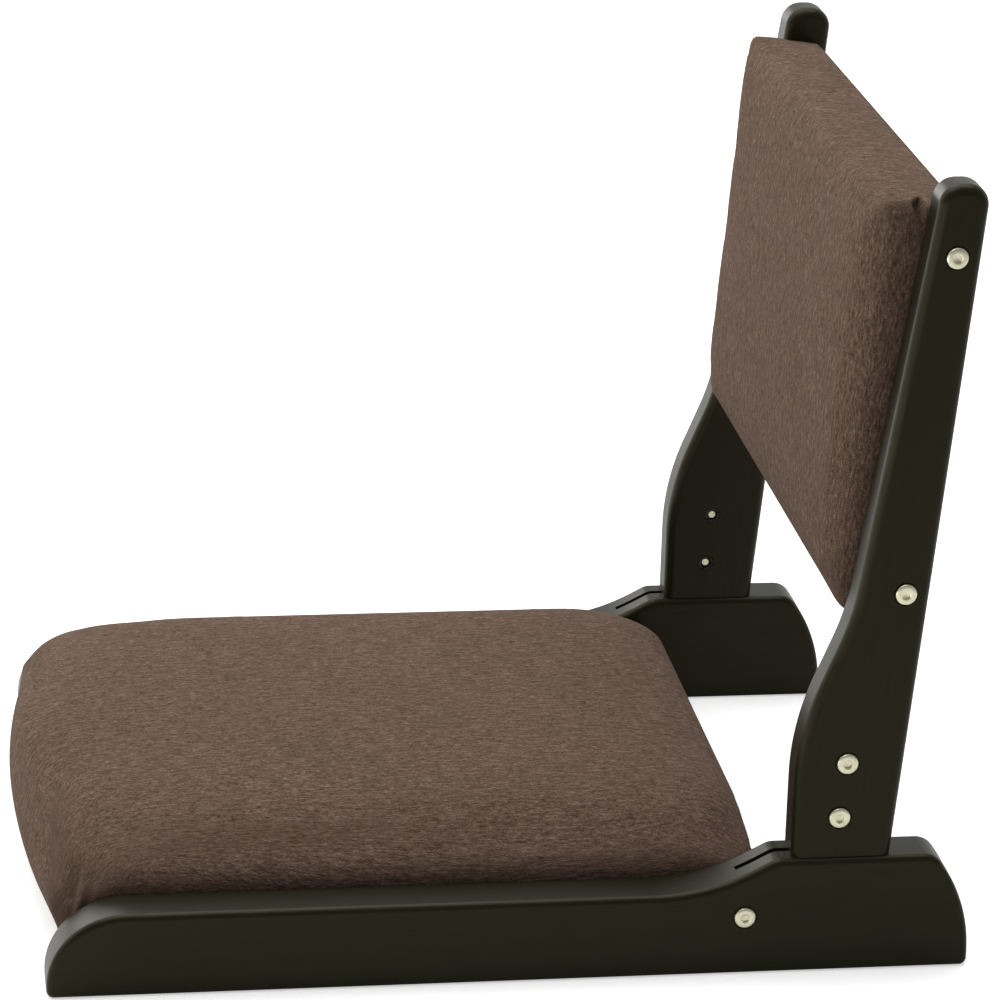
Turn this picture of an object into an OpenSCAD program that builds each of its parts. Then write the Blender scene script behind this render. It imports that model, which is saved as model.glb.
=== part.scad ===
// A low folding floor chair: two side rails on the floor carry a padded seat, and a padded
// back between two uprights folds forward over it on a hinge plate hidden in each rail.
// X runs across the chair, -Y is the sitter's front, Z is up from the floor.

/* [Rails] */
// Clear width between the two rails
inner_w = 365; // [350:1:380]
// Length of each rail
rail_l = 504; // [496:1:512]
// Thickness of each rail
rail_t = 30; // [29:0.5:32]
// Height of the front stretch of a rail
rail_front_h = 47.5; // [46:0.5:50]
// Height of the flat block at the rear, which the upright stands on
rail_rear_h = 67; // [65:0.5:70]
// Length of the rounded nose at the front
nose_l = 44; // [36:1:52]
// Height of the rounded nose at the front
nose_h = 41; // [34:1:42]
// Radius of the two bottom corners
toe_r = 4; // [3.2:0.1:6]
// Distance from the rear end to the foot of the ramp
ramp_foot = 146; // [142:0.5:154]
// Radius of the hollow at the foot of the ramp
ramp_foot_r = 120; // [96:2:126]
// Radius of the corner at the top of the ramp
ramp_top_r = 12; // [8:1:16]
// Slope of the ramp, in degrees
ramp_angle = 28; // [25:1:30]
// Distance from the rear end to the rear corner of the flat block
heel_l = 21; // [19.5:0.1:23]
// Radius of the curved rear end
heel_r = 92; // [78:1:95]
// Radius of the rear corner of the flat block
heel_top_r = 12; // [8:1:13]
// Fall of the curved rear end, in degrees
heel_angle = 56; // [55:1:58]
// Radius that is rounded over along the long edges of every board
edge_r = 3; // [2:0.2:3.2]

/* [Uprights] */
// Thickness of each upright
upright_t = 24; // [22:0.5:26]
// Height of the upright above the rail
upright_h = 376.5; // [368:0.5:388]
// Distance from the rear end of the rail to the front of the upright's foot
foot_back = 101; // [99:0.2:103]
// Width of the upright's foot
foot_w = 55; // [53:0.5:57]
// Width of the upright at its top, before rounding
upright_top_w = 26.3; // [24.5:0.1:30]
// Lean of the upright's rear edge, in degrees
lean = 4.98; // [4.5:0.02:6]
// Height above the rail where the front edge starts to run back
knee_low_h = 70.8; // [66:0.2:74]
// Height above the rail where the front edge straightens again
knee_high_h = 137; // [133:0.2:142]
// Slope of the front edge between the two, in degrees from upright
knee_angle = 22; // [20:0.5:23]
// Radius of the two bends in the front edge
knee_r = 150; // [110:2:160]
// Radius of the two corners at the top
crown_r = 11.5; // [8:0.1:11.8]

/* [Hinges] */
// Distance from the rear end of the rail to the hinge bolt
pivot_back = 125.9; // [124:0.1:128]
// Height of the hinge bolt
pivot_h = 34; // [32:0.1:35]
// Thickness of the steel hinge plate
plate_t = 3; // [2.5:0.1:3.4]
// Radius of the plate's ends, which is half its width
plate_r = 9; // [8:0.1:10]
// Distance from the hinge bolt back to the low bend of the plate
neck_back = 31; // [30:0.5:33]
// Depth of the low bend below the hinge bolt
neck_drop = 11; // [10:0.5:13]
// Distance from the hinge bolt back to the upper bend of the plate
bend_back = 42.7; // [41:0.1:44]
// Depth of the plate's upper bend below the top of the rail's block
bend_drop = 4.5; // [3.5:0.1:6]
// Distance of the plate's two upper bolts from the upright's rear edge
plate_bolt_in = 31.6; // [30:0.1:32.5]
// Distance of the lower one from the foot, along the rear edge
plate_bolt_low = 20.4; // [19:0.1:22]
// Distance between the two, along the rear edge
plate_bolt_gap = 31.7; // [28:0.1:34]
// Clear distance kept between the plate and the floor of its slot
plate_room = 2.6; // [2:0.1:4]
// Thickness of the nylon washers on each side of the plate
washer_t = 0.5; // [0.4:0.1:0.8]
// Radius of the nylon washers
washer_r = 7; // [6:0.1:8]
// Play between the plate and each washer
washer_gap = 0.1; // [0.05:0.01:0.15]
// Play between the plate and the walls of its pocket in the upright
pocket_gap = 0.1; // [0.05:0.01:0.2]
// Angle that the rail's slot lets the back fold forward, in degrees
slot_angle = 89; // [88:0.5:92]
// Running play between the hinge bolt and the plate's eye, on the radius
eye_gap = 0.05; // [0.02:0.01:0.09]

/* [Bolts] */
// Radius of the bolts' shanks
bolt_r = 3; // [2.5:0.1:3.2]
// Radius of the bolts' low round heads
head_r = 5.85; // [5.4:0.05:6.2]
// Height of the bolts' heads
head_h = 2.4; // [2:0.1:3]
// Radius of the rounded rim of a head
head_rim = 1.1; // [0.6:0.1:1.4]
// Radius of the hexagon socket, across its corners
socket_r = 2.3; // [2:0.1:2.5]
// Depth of the hexagon socket
socket_h = 1.5; // [1:0.1:1.8]
// Depth that each head is let into the wood
head_sink = 0.9; // [0.5:0.1:1.4]
// Play round a head in its recess
head_gap = 0.6; // [0.4:0.1:1]
// Radius of the threaded nuts that are screwed into the inner faces
nut_r = 4.8; // [4.3:0.1:5.2]
// Length of these nuts
nut_h = 9; // [8:0.1:9.4]
// Depth of these nuts below the inner face
nut_sink = 0.4; // [0.2:0.1:0.8]
// Depth of a bolt's end below the inner face
bolt_end_in = 2.2; // [1.4:0.1:4]
// Chamfer at a bolt's end
bolt_tip = 0.9; // [0.6:0.1:1.2]
// Length of the threaded inserts that hold the back pad
insert_l = 20; // [16:0.5:22]
// Radius of the threaded inserts
insert_r = 4.6; // [4.2:0.1:5]
// Depth of the back pad's bolts in their inserts
insert_bite = 15; // [12:0.5:16]

/* [Seat] */
// Distance that the seat pad reaches past the front of the rails
seat_overhang = 12; // [8:0.5:16]
// Distance from the rear end of the rails to the rear of the seat pad
seat_back = 111.5; // [109:0.5:115]
// Gap between the seat pad and each rail
seat_gap = 0.4; // [0.3:0.1:1]
// Distance that the seat pad's front corners lie behind its middle
seat_bow = 15.5; // [10:0.5:18]
// Radius of the seat board's corners
seat_corner_r = 13.5; // [10:0.5:18]
// Height of the underside of the seat board
seat_board_h = 26.2; // [26:0.1:30]
// Thickness of the seat board
seat_board_t = 12; // [10:0.5:14]
// Distance from the side of the pad to the edge of its board
board_inset = 2.6; // [2.2:0.1:3.4]
// Height of the seat's padding at its middle, above the board
seat_rise = 45.9; // [42:0.1:49]
// Thickness of the upholstery cloth
cloth_t = 1.2; // [0.8:0.1:1.5]
// Width of cloth that is turned under each board
hem_w = 32; // [26:1:40]
// Thickness of the lining under the seat
lining_t = 0.6; // [0.4:0.1:0.8]
// Distance from the edge of the seat board to the edge of the lining
lining_inset = 12; // [8:1:18]
// Width of each cross bar under the seat
bar_w = 40; // [36:1:46]
// Height of each cross bar
bar_h = 20; // [18:0.5:22]
// Distance from the front end of the rails to the middle of the front cross bar
front_bar_y = 48; // [46:1:60]
// Distance from the rear end of the rails to the middle of the rear cross bar
rear_bar_y = 168; // [160:1:176]
// Radius of the beech dowels
dowel_r = 4; // [3:0.5:4.5]
// Length of the beech dowels
dowel_l = 30; // [24:1:34]
// Distance between two dowels in a joint
dowel_gap = 20; // [17:0.5:24]

/* [Back] */
// Distance from the upright's foot to the bottom of the back pad, along the rear edge
pad_up = 131.8; // [128:0.1:136]
// Height of the back pad
pad_h = 228; // [222:1:234]
// Thickness of the back pad at its middle, rear panel included
pad_t = 53.2; // [50:0.1:55]
// How much deeper the back pad is at its top than at its bottom
pad_swell = 3.4; // [2:0.1:4.5]
// Distance of the pad's rear face from the upright's rear edge
pad_in = 3.5; // [2.5:0.1:4]
// Gap between the back pad and each upright
pad_gap = 0.4; // [0.3:0.1:1]
// Radius of the back frame's corners
pad_corner_r = 4.5; // [4:0.5:5.5]
// Distance of the pad's bolts from the upright's rear edge
pad_bolt_in = 13.6; // [12.5:0.1:14.5]
// Distance from the bottom of the pad to its lower bolts
pad_bolt_low = 19.2; // [17:0.1:21]
// Distance from the top of the pad to its upper bolts
pad_bolt_high = 22; // [19:0.1:24]
// Thickness of the rear panel
panel_t = 2; // [1.5:0.1:2.4]
// Distance from the edge of the pad to the edge of the rear panel
panel_inset = 7; // [5:0.5:10]
// Thickness of the wooden frame inside the back pad
frame_t = 16; // [14:0.5:18]
// Width of the frame's two side pieces
stile_w = 34; // [30:1:40]
// Width of the frame's top and bottom pieces
cross_w = 34; // [30:1:40]
// Thickness of the plywood on the front of the frame
ply_t = 4; // [3:0.5:5]

/* [Small fasteners] */
// Radius of the wood screws that hold the seat board
screw_r = 2; // [1.6:0.1:2.4]
// Radius of the screws' heads
screw_head_r = 4; // [3.4:0.1:4.4]
// Height of the screws' heads
screw_head_h = 2.2; // [1.8:0.1:2.6]
// Depth of the screws in the seat board
screw_bite = 9; // [7:0.5:9.5]
// Distance from each rail to the outer screws
screw_in = 62.5; // [56:0.5:80]
// Width of a staple
staple_w = 10; // [8:0.5:12]
// Thickness of a staple's wire
staple_wire = 0.7; // [0.5:0.1:0.9]
// Length of a staple's legs
staple_leg = 6; // [5:0.5:8]
// Distance from the edge of a board to its staples
staple_in = 17; // [15:0.5:20]

/* [Hidden] */

$fn = 48;
// Overrun of every cut past the face that it opens
cut = 1;
// Steps in each rounded corner of an outline, across a rounded-over edge and round the nose
corner_steps = 6;
edge_steps = 3;
nose_steps = 9;

// Lengthwise places: the whole chair, with the seat's overhang, is centred on Y = 0
rear_y = (rail_l + seat_overhang) / 2;
front_y = rear_y - rail_l;
pivot = [rear_y - pivot_back, pivot_h];
neck = pivot + [neck_back, -neck_drop];
bend = [pivot.x + bend_back, rail_rear_h - bend_drop];
foot = [rear_y - foot_back + foot_w, rail_rear_h];
// Length that an upright's outline runs below its foot before it is cut square
foot_trim = edge_r + cut;
// Play round the hinge plate's outline in the upright's pocket
pocket_room = 1.2;
seat_y0 = front_y - seat_overhang;
seat_y1 = rear_y - seat_back;
seat_mid_y = (seat_y0 + seat_y1) / 2;

// Crosswise places, for the left side, which is +X
rail_x0 = inner_w / 2;
rail_x1 = rail_x0 + rail_t;
mid_x = rail_x0 + rail_t / 2;
upright_x0 = mid_x - upright_t / 2;
upright_x1 = mid_x + upright_t / 2;
slot_x0 = mid_x - plate_t / 2 - washer_gap - washer_t;
slot_x1 = mid_x + plate_t / 2 + washer_gap + washer_t;
seat_hw = inner_w / 2 - seat_gap;
pad_hw = upright_x0 - pad_gap;
stile_x1 = pad_hw - board_inset;

// Heights of the seat's layers
seat_bottom_h = seat_board_h - cloth_t;
seat_foam_h = seat_board_h + seat_board_t;
seat_top_h = seat_foam_h + seat_rise;
lining_h = seat_bottom_h - lining_t;
bar_y = [front_y + front_bar_y, rear_y - rear_bar_y];
// Radius of the cross bars' long edges
bar_edge_r = 3;
// Dowels in the inner face of a rail, in Y and Z
dowel_places = [for (y = bar_y, s = [-1, 1]) [y + s * dowel_gap / 2, lining_h - bar_h / 2]];

// Depths of the back pad's layers, measured forward from its rear face
pad_frame_w = panel_t + cloth_t;
pad_ply_w = pad_frame_w + frame_t;
pad_foam_w = pad_ply_w + ply_t;
pad_rise = pad_t - pad_foam_w;
// Distance from the pad's top and bottom to its frame, and the radii of flat corners
frame_inset = 7;
frame_r = 2;
panel_r = 5;
// Staples along each edge of the seat board, and across and up the back frame
seat_staple_n = 4;
back_staple_nx = 4;
back_staple_ny = 3;

// Bolts through an upright, as distances up the rear edge and in from it
plate_bolts = [for (i = [0, 1]) [plate_bolt_low + i * plate_bolt_gap, plate_bolt_in]];
pad_bolts = [for (up = [pad_bolt_low, pad_h - pad_bolt_high]) [pad_up + up, pad_bolt_in]];

// The seat pad's section: heights above the board, and the insets of the sides, front and
// rear, all as shares of the padding's height; the first inset is that of the turned-under edge
seat_rise_shares = [-0.25, 0, 0.2, 0.32, 0.46, 0.58, 0.69, 0.795, 0.888, 0.952, 0.988];
seat_side_shares = [0.045, 0.02, 0.013, 0.008, 0.019, 0.088, 0.23, 0.39, 0.59, 0.97, 1.73, 2.75];
seat_front_shares = [0.1, 0.05, 0, 0.03, 0.056, 0.072, 0.09, 0.17, 0.36, 0.73, 1.58, 2.74];
seat_rear_shares = [0.09, 0.07, 0.04, 0.013, 0.01, 0.036, 0.06, 0.16, 0.37, 0.86, 1.68, 2.82];
// What the same rows add to the radius of the front and rear corners
seat_front_r_shares = [0, 0, 0.11, 0.37, 0.59, 0.72, 0.94, 1.33, 1.63, 1.81, 1.46, 0.55];
seat_rear_r_shares = [0, 0, 0, 0.09, 0.33, 0.67, 0.85, 0.81, 0.76, 0.81, 0.85, 0.55];
// The back pad's section in the same way, with the insets of its bottom and top
pad_rise_shares = [-0.62, -0.25, 0, 0.26, 0.46, 0.63, 0.77, 0.87, 0.935, 0.98];
pad_side_shares = [0.053, 0.019, 0.011, 0.01, 0.012, 0.041, 0.126, 0.35, 0.65, 1.23, 2.48];
pad_low_shares = [0.105, 0.07, 0.018, 0.009, 0.008, 0.039, 0.139, 0.355, 0.77, 1.45, 2.64];
pad_high_shares = [0.09, 0.06, 0.022, 0.011, 0.014, 0.039, 0.067, 0.234, 0.62, 1.31, 2.53];
pad_low_r_shares = [0.06, 0.05, 0, 0, 0.02, 0.07, 0.22, 0.46, 0.66, 0.78, 0.85];
pad_high_r_shares = [0.08, 0.07, 0.05, 0.03, 0.02, 0, 0, 0, 0.21, 0.46, 0.65];
// Counts of points along a pad's ends, sides and corners
pad_end_n = 8;
pad_side_n = 6;
pad_corner_n = 4;

// Unit vector along v
function unit(v) = v / norm(v);

// Points of the arc of radius r that rounds the corner b between a and c
function corner(a, b, c, r) =
    r == 0 ? [b] :
    let (u = unit(a - b),
         w = unit(c - b),
         half = acos(u * w) / 2,
         centre = b + unit(u + w) * r / sin(half),
         p = b + u * r / tan(half) - centre,
         q = b + w * r / tan(half) - centre,
         start = atan2(p.y, p.x),
         sweep = (atan2(q.y, q.x) - start + 540) % 360 - 180)
    [for (i = [0 : corner_steps])
        let (angle = start + sweep * i / corner_steps)
        centre + r * [cos(angle), sin(angle)]];

// Closed outline through points, each rounded to its radius
function rounded(points, radii) =
    let (n = len(points))
    [for (i = [0 : n - 1])
        each corner(points[(i + n - 1) % n], points[i], points[(i + 1) % n], radii[i])];

// Point i of a closed anticlockwise outline, moved inward by d
function inward(outline, i, d) =
    let (n = len(outline),
         before = unit(outline[i] - outline[(i + n - 1) % n]),
         after = unit(outline[(i + 1) % n] - outline[i]),
         normal = [-before.y, before.x],
         mitre = unit(normal + [-after.y, after.x]))
    outline[i] + mitre * d / (mitre * normal);

// A point on the upright: up its rear edge from the foot, and forward from that edge
function on_upright(up, forward) =
    foot + up * [sin(lean), cos(lean)] + forward * [-cos(lean), sin(lean)];

// Board of thickness t across X, with both edges of its outline rounded over; its two flat
// faces are fans about a point from which the whole outline is seen
module board(outline, t, middle) {
    n = len(outline);
    rings = 2 * (edge_steps + 1);
    skin = [for (j = [0 : rings - 1])
        let (near = j <= edge_steps,
             angle = 90 * (near ? j : rings - 1 - j) / edge_steps,
             depth = t / 2 - edge_r * (1 - cos(angle)),
             inset = edge_r * (1 - sin(angle)))
        for (i = [0 : n - 1])
            let (p = inward(outline, i, inset))
            [(near ? -1 : 1) * depth, p.x, p.y]];
    sides = [for (j = [0 : rings - 2], i = [0 : n - 1])
        let (a = j * n + i, b = j * n + (i + 1) % n)
        each [[a, a + n, b + n], [a, b + n, b]]];
    caps = [for (i = [0 : n - 1])
        let (next = (i + 1) % n, last = (rings - 1) * n)
        each [[rings * n, i, next], [rings * n + 1, last + next, last + i]]];
    hearts = [for (x = [-t / 2, t / 2]) [x, middle.x, middle.y]];
    polyhedron(points = concat(skin, hearts), faces = concat(sides, caps));
}

// Outline in Y and Z, extruded from x0 to x1
module plate(outline, x0, x1) {
    translate([x0, 0, 0])
        rotate([90, 0, 90])
            linear_extrude(x1 - x0)
                polygon(outline);
}

// Cylinder along X through the point p in Y and Z
module rod(p, r, x0, x1) {
    translate([x0, p.x, p.y])
        rotate([0, 90, 0])
            cylinder(h = x1 - x0, r = r);
}

// Anticlockwise outline of a pad between y0 and y1, with corners of radius r0 at its first
// end and r1 at its second, and its first end bowed out at the middle
function ring(hw, y0, y1, r0, r1, bow) =
    let (f = y0 + bow,
         cx0 = hw - r0,
         cx1 = hw - r1,
         side = y1 - f - r0 - r1,
         turn = [for (i = [1 : pad_corner_n]) 90 * i / pad_corner_n])
    concat(
        [for (i = [0 : pad_end_n]) let (s = 2 * i / pad_end_n - 1) [s * cx0, f - bow * (1 - s * s)]],
        [for (a = turn) [cx0 + r0 * sin(a), f + r0 - r0 * cos(a)]],
        [for (i = [1 : pad_side_n]) [hw, f + r0 + side * i / pad_side_n]],
        [for (a = turn) [cx1 + r1 * cos(a), y1 - r1 + r1 * sin(a)]],
        [for (i = [1 : pad_end_n]) [cx1 - 2 * cx1 * i / pad_end_n, y1]],
        [for (a = turn) [-cx1 - r1 * sin(a), y1 - r1 + r1 * cos(a)]],
        [for (i = [1 : pad_side_n]) [-hw, y1 - r1 - side * i / pad_side_n]],
        [for (i = [0 : pad_corner_n - 2]) [-cx0 - r0 * cos(turn[i]), f + r0 - r0 * sin(turn[i])]]);

// Places the points of one outline at the height h
function at_height(outline, h) = [for (p = outline) [p.x, p.y, h]];

// Closed skin through rings of as many points, from its middle below to its middle above
module loft(rings, base, peak) {
    n = len(rings[0]);
    m = len(rings);
    top = n * m + 1;
    under = [for (i = [0 : n - 1]) [0, 1 + i, 1 + (i + 1) % n]];
    sides = [for (j = [0 : m - 2], i = [0 : n - 1])
        let (a = 1 + j * n + i, b = 1 + j * n + (i + 1) % n)
        each [[a, a + n, b + n], [a, b + n, b]]];
    crown = [for (i = [0 : n - 1]) [top, top - n + (i + 1) % n, top - n + i]];
    polyhedron(
        points = concat([base], [for (r = rings) each r], [peak]),
        faces = concat(under, sides, crown));
}

// Seat pad's outline at row j of its section, drawn in by a further d
function seat_ring(j, d) =
    ring(seat_hw - seat_side_shares[j] * seat_rise - d,
         seat_y0 + seat_front_shares[j] * seat_rise + d,
         seat_y1 - seat_rear_shares[j] * seat_rise - d,
         seat_corner_r + seat_front_r_shares[j] * seat_rise,
         seat_corner_r + seat_rear_r_shares[j] * seat_rise,
         seat_bow);

// Height of row j
function seat_row_h(j) =
    j == 0 ? seat_bottom_h : seat_foam_h + seat_rise_shares[j - 1] * seat_rise;

// Outline of the seat board, drawn in by a further d
function board_ring(d) =
    ring(seat_hw - board_inset - d,
         seat_y0 + seat_front_shares[0] * seat_rise + board_inset + d,
         seat_y1 - seat_rear_shares[0] * seat_rise - board_inset - d,
         seat_corner_r,
         seat_corner_r,
         seat_bow);

// Back pad's outline at row j of its section, drawn in by a further d
function back_ring(j, d) =
    ring(pad_hw - pad_side_shares[j] * pad_rise - d,
         pad_low_shares[j] * pad_rise + d,
         pad_h - pad_high_shares[j] * pad_rise - d,
         pad_corner_r + pad_low_r_shares[j] * pad_rise,
         pad_corner_r + pad_high_r_shares[j] * pad_rise,
         0);

// Depth of row j, and that depth y up the pad, where the padding grows deeper toward the top
function back_row_w(j) = j == 0 ? panel_t : pad_foam_w + pad_rise_shares[j - 1] * pad_rise;
function swollen(w, y) =
    w + max(0, w - pad_foam_w) / pad_rise * pad_swell * (y / pad_h - 1 / 2);

// Row j as points, its outline and its depth drawn in by a further d
function back_row(j, d) =
    [for (p = back_ring(j, d)) [p.x, p.y, swollen(back_row_w(j), p.y) - d]];

// Outline of the back pad's frame, drawn in by a further d
function frame_ring(d) =
    ring(pad_hw - board_inset - d, frame_inset + d, pad_h - frame_inset - d, frame_r, frame_r, 0);

// Flat piece of a given outline, from z0 to z1
module sheet(outline, z0, z1) {
    translate([0, 0, z0])
        linear_extrude(z1 - z0)
            polygon(outline);
}

// Places children in the back pad's own frame: X across, Y up the back, Z forward
module on_pad() {
    origin = on_upright(pad_up, pad_in);
    translate([0, origin.x, origin.y])
        rotate([90 - lean, 0, 0])
            children();
}

// Both the left and the right copy of what is drawn on the left
module both() {
    children();
    mirror([1, 0, 0])
        children();
}

// Low round-headed bolt along X, with its head on the outer face and its tip inside
module bolt(p, x_face, x_tip) {
    shank = x_face - head_sink - x_tip;
    rim = [for (i = [0 : corner_steps])
        let (a = 90 * i / corner_steps)
        [head_r - head_rim * (1 - cos(a)), head_h - head_rim * (1 - sin(a))]];
    translate([x_face - head_sink, p.x, p.y])
        rotate([0, 90, 0])
            difference() {
                rotate_extrude()
                    polygon(concat(
                        [[0, -shank], [bolt_r - bolt_tip, -shank], [bolt_r, bolt_tip - shank]],
                        [[bolt_r, 0], [head_r, 0]],
                        rim,
                        [[0, head_h]]));
                translate([0, 0, head_h - socket_h])
                    cylinder(h = socket_h + cut, r = socket_r, $fn = 6);
            }
}

// Bore for a bolt, with the recess of its head
module bolt_bore(p, x_face, x_tip) {
    rod(p, bolt_r, x_tip - cut, x_face + cut);
    rod(p, head_r + head_gap, x_face - head_sink, x_face + cut);
}

// Threaded nut in an inner face at x_face
module nut(p, x_face) {
    difference() {
        rod(p, nut_r, x_face + nut_sink, x_face + nut_sink + nut_h);
        rod(p, bolt_r, x_face, x_face + nut_h + cut);
    }
}

// Bore for such a nut
module nut_bore(p, x_face) {
    rod(p, nut_r, x_face - cut, x_face + nut_sink + nut_h);
}

// Rail's outline: bottom, curved rear end, flat block, ramp, front stretch and nose
function rail_outline() =
    let (ramp_y = rear_y - ramp_foot,
         nose = [for (i = [0 : nose_steps])
             let (a = 90 * i / nose_steps)
             [front_y + nose_l * (1 - sin(a)), rail_front_h - nose_h * (1 - cos(a))]],
         zero_radii = [for (i = [0 : nose_steps]) 0])
    rounded(
        concat(
            [[front_y, 0], [rear_y, 0], [rear_y, rail_rear_h - heel_l * tan(heel_angle)]],
            [[rear_y - heel_l, rail_rear_h]],
            [[ramp_y + (rail_rear_h - rail_front_h) / tan(ramp_angle), rail_rear_h]],
            [[ramp_y, rail_front_h]],
            nose),
        concat([toe_r, toe_r, heel_r, heel_top_r, ramp_top_r, ramp_foot_r], zero_radii));

// A direction in Y and Z, turned forward by an angle
function turned(v, a) = [v.x * cos(a) - v.y * sin(a), v.x * sin(a) + v.y * cos(a)];

// Slot of a rail, open above: its front wall lies along the hinge plate's neck when the back
// is folded, and its rear one behind the plate when the back stands
module rail_slot() {
    room = plate_r + plate_room;
    top = rail_rear_h + cut;
    d = turned(unit(neck - pivot), slot_angle);
    wall = pivot + room * [-d.y, d.x];
    translate([slot_x0, 0, 0])
        rotate([90, 0, 90])
            linear_extrude(slot_x1 - slot_x0)
                hull() {
                    for (p = [pivot, neck])
                        translate(p)
                            circle(r = room);
                    polygon([wall, [bend.x + room, bend.y], [bend.x + room, top],
                             [wall.x + d.x * (top - wall.y) / d.y, top]]);
                }
}

module rail() {
    color("#26221a")
        difference() {
            translate([mid_x, 0, 0])
                board(rail_outline(), rail_t, pivot);
            rail_slot();
            bolt_bore(pivot, rail_x1, rail_x0);
            nut_bore(pivot, rail_x0);
            for (p = dowel_places)
                rod(p, dowel_r, rail_x0 - cut, rail_x0 + dowel_l / 2);
        }
}

module left_rail() {
    rail();
}

module right_rail() {
    mirror([1, 0, 0])
        rail();
}

// Cross bar at place i, between the rails
module cross_bar(i) {
    z1 = lining_h;
    z0 = z1 - bar_h;
    y0 = bar_y[i] - bar_w / 2;
    y1 = bar_y[i] + bar_w / 2;
    color("#c9a878")
        difference() {
            plate(
                rounded([[y0, z0], [y1, z0], [y1, z1], [y0, z1]], [for (i = [0 : 3]) bar_edge_r]),
                -rail_x0,
                rail_x0);
            both()
                for (p = dowel_places)
                    rod(p, dowel_r, rail_x0 - dowel_l / 2, rail_x0 + cut);
            seat_screw_holes();
        }
}

module front_cross_bar() {
    cross_bar(0);
}

module rear_cross_bar() {
    cross_bar(1);
}

module cross_bar_dowels() {
    color("#d9bd8f")
        both()
            for (p = dowel_places)
                rod(p, dowel_r, rail_x0 - dowel_l / 2, rail_x0 + dowel_l / 2);
}

// Places each child at the seat's screws
module at_seat_screws() {
    for (y = bar_y, s = [-1, 0, 1])
        translate([s * (rail_x0 - screw_in), y, lining_h - bar_h])
            children();
}

module seat_screw() {
    cylinder(h = screw_head_h, r = screw_head_r);
    cylinder(h = seat_board_h + screw_bite - lining_h + bar_h, r = screw_r);
}

module seat_screw_holes() {
    at_seat_screws() {
        translate([0, 0, -cut])
            cylinder(h = screw_head_h + cut, r = screw_head_r);
        cylinder(h = seat_board_h + screw_bite - lining_h + bar_h, r = screw_r);
    }
}

module seat_screws() {
    color("#b8b6ac")
        at_seat_screws()
            seat_screw();
}

// One staple with its crown on z = 0 and its legs up
module staple() {
    translate([-staple_w / 2, -staple_wire / 2, 0])
        cube([staple_w, staple_wire, staple_wire]);
    for (s = [-1, 1])
        translate([s * (staple_w - staple_wire) / 2 - staple_wire / 2, -staple_wire / 2, 0])
            cube([staple_wire, staple_wire, staple_wire + staple_leg]);
}

// Staples in a row of n along each edge of a board with the half sizes hx and hy
module staple_rows(hx, hy, middle, nx, ny, bow) {
    for (i = [0 : nx - 1], s = [-1, 1])
        let (share = (2 * i + 1) / nx - 1,
             x = share * (hx - hem_w))
        translate([x, middle + s * (hy - staple_in) + (s < 0 ? bow * share * share : 0), 0])
            staple();
    for (i = [0 : ny - 1], s = [-1, 1])
        translate([s * (hx - staple_in), middle + ((2 * i + 1) / ny - 1) * (hy - hem_w), 0])
            rotate([0, 0, 90])
                staple();
}

module seat_staples() {
    y0 = seat_y0 + seat_front_shares[0] * seat_rise + board_inset;
    y1 = seat_y1 - seat_rear_shares[0] * seat_rise - board_inset;
    color("#a9a9a4")
        translate([0, 0, seat_bottom_h])
            staple_rows(
                seat_hw - board_inset,
                (y1 - y0) / 2,
                (y0 + y1) / 2,
                seat_staple_n,
                seat_staple_n,
                seat_bow);
}

module seat_board() {
    color("#c8ab7c")
        difference() {
            sheet(board_ring(0), seat_board_h, seat_foam_h);
            seat_screw_holes();
            seat_staples();
        }
}

module seat_foam() {
    last = len(seat_side_shares) - 1;
    color("#e6dcb4")
        loft(
            [at_height(board_ring(0), seat_foam_h),
             for (j = [3 : last]) at_height(seat_ring(j, cloth_t), seat_row_h(j) - cloth_t)],
            [0, seat_mid_y, seat_foam_h],
            [0, seat_mid_y, seat_top_h - cloth_t]);
}

module seat_cover() {
    last = len(seat_side_shares) - 1;
    color("#5f4c42")
        difference() {
            loft(
                [for (j = [0 : last]) at_height(seat_ring(j, 0), seat_row_h(j))],
                [0, seat_mid_y, seat_bottom_h],
                [0, seat_mid_y, seat_top_h]);
            seat_foam();
            sheet(board_ring(0), seat_board_h, seat_foam_h);
            sheet(board_ring(hem_w), seat_bottom_h - cut, seat_board_h + cut);
            seat_staples();
        }
}

module seat_lining() {
    color("#1f1f1f")
        difference() {
            sheet(board_ring(lining_inset), lining_h, seat_bottom_h);
            seat_screw_holes();
        }
}

module hinge_bolt() {
    color("#bdb9a8")
        bolt(pivot, rail_x1, rail_x0 + bolt_end_in);
}

module left_hinge_bolt() {
    hinge_bolt();
}

module right_hinge_bolt() {
    mirror([1, 0, 0])
        hinge_bolt();
}

module left_hinge_nut() {
    color("#2c2b28")
        nut(pivot, rail_x0);
}

module right_hinge_nut() {
    mirror([1, 0, 0])
        left_hinge_nut();
}

module left_hinge_washers() {
    color("#e8e6dc")
        difference() {
            for (x = [slot_x0, slot_x1 - washer_t])
                rod(pivot, washer_r, x, x + washer_t);
            rod(pivot, bolt_r, slot_x0 - cut, slot_x1 + cut);
        }
}

module right_hinge_washers() {
    mirror([1, 0, 0])
        left_hinge_washers();
}

// Stretch of the hinge plate between two of its centres
module plate_stretch(a, b) {
    side = unit(b - a) * plate_r;
    right = [side.y, -side.x];
    polygon([a + right, b + right, b - right, a - right]);
}

module left_hinge_plate() {
    ends = [for (p = plate_bolts) on_upright(p[0], p[1])];
    line = [pivot, neck, bend, ends[0], ends[1]];
    color("#3a3936")
        translate([mid_x - plate_t / 2, 0, 0])
            rotate([90, 0, 90])
                linear_extrude(plate_t)
                    difference() {
                        union() {
                            for (p = line)
                                translate(p)
                                    circle(r = plate_r);
                            for (i = [0 : len(line) - 2])
                                plate_stretch(line[i], line[i + 1]);
                        }
                        translate(pivot)
                            circle(r = bolt_r + eye_gap);
                        for (p = ends)
                            translate(p)
                                circle(r = bolt_r);
                    }
}

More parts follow.
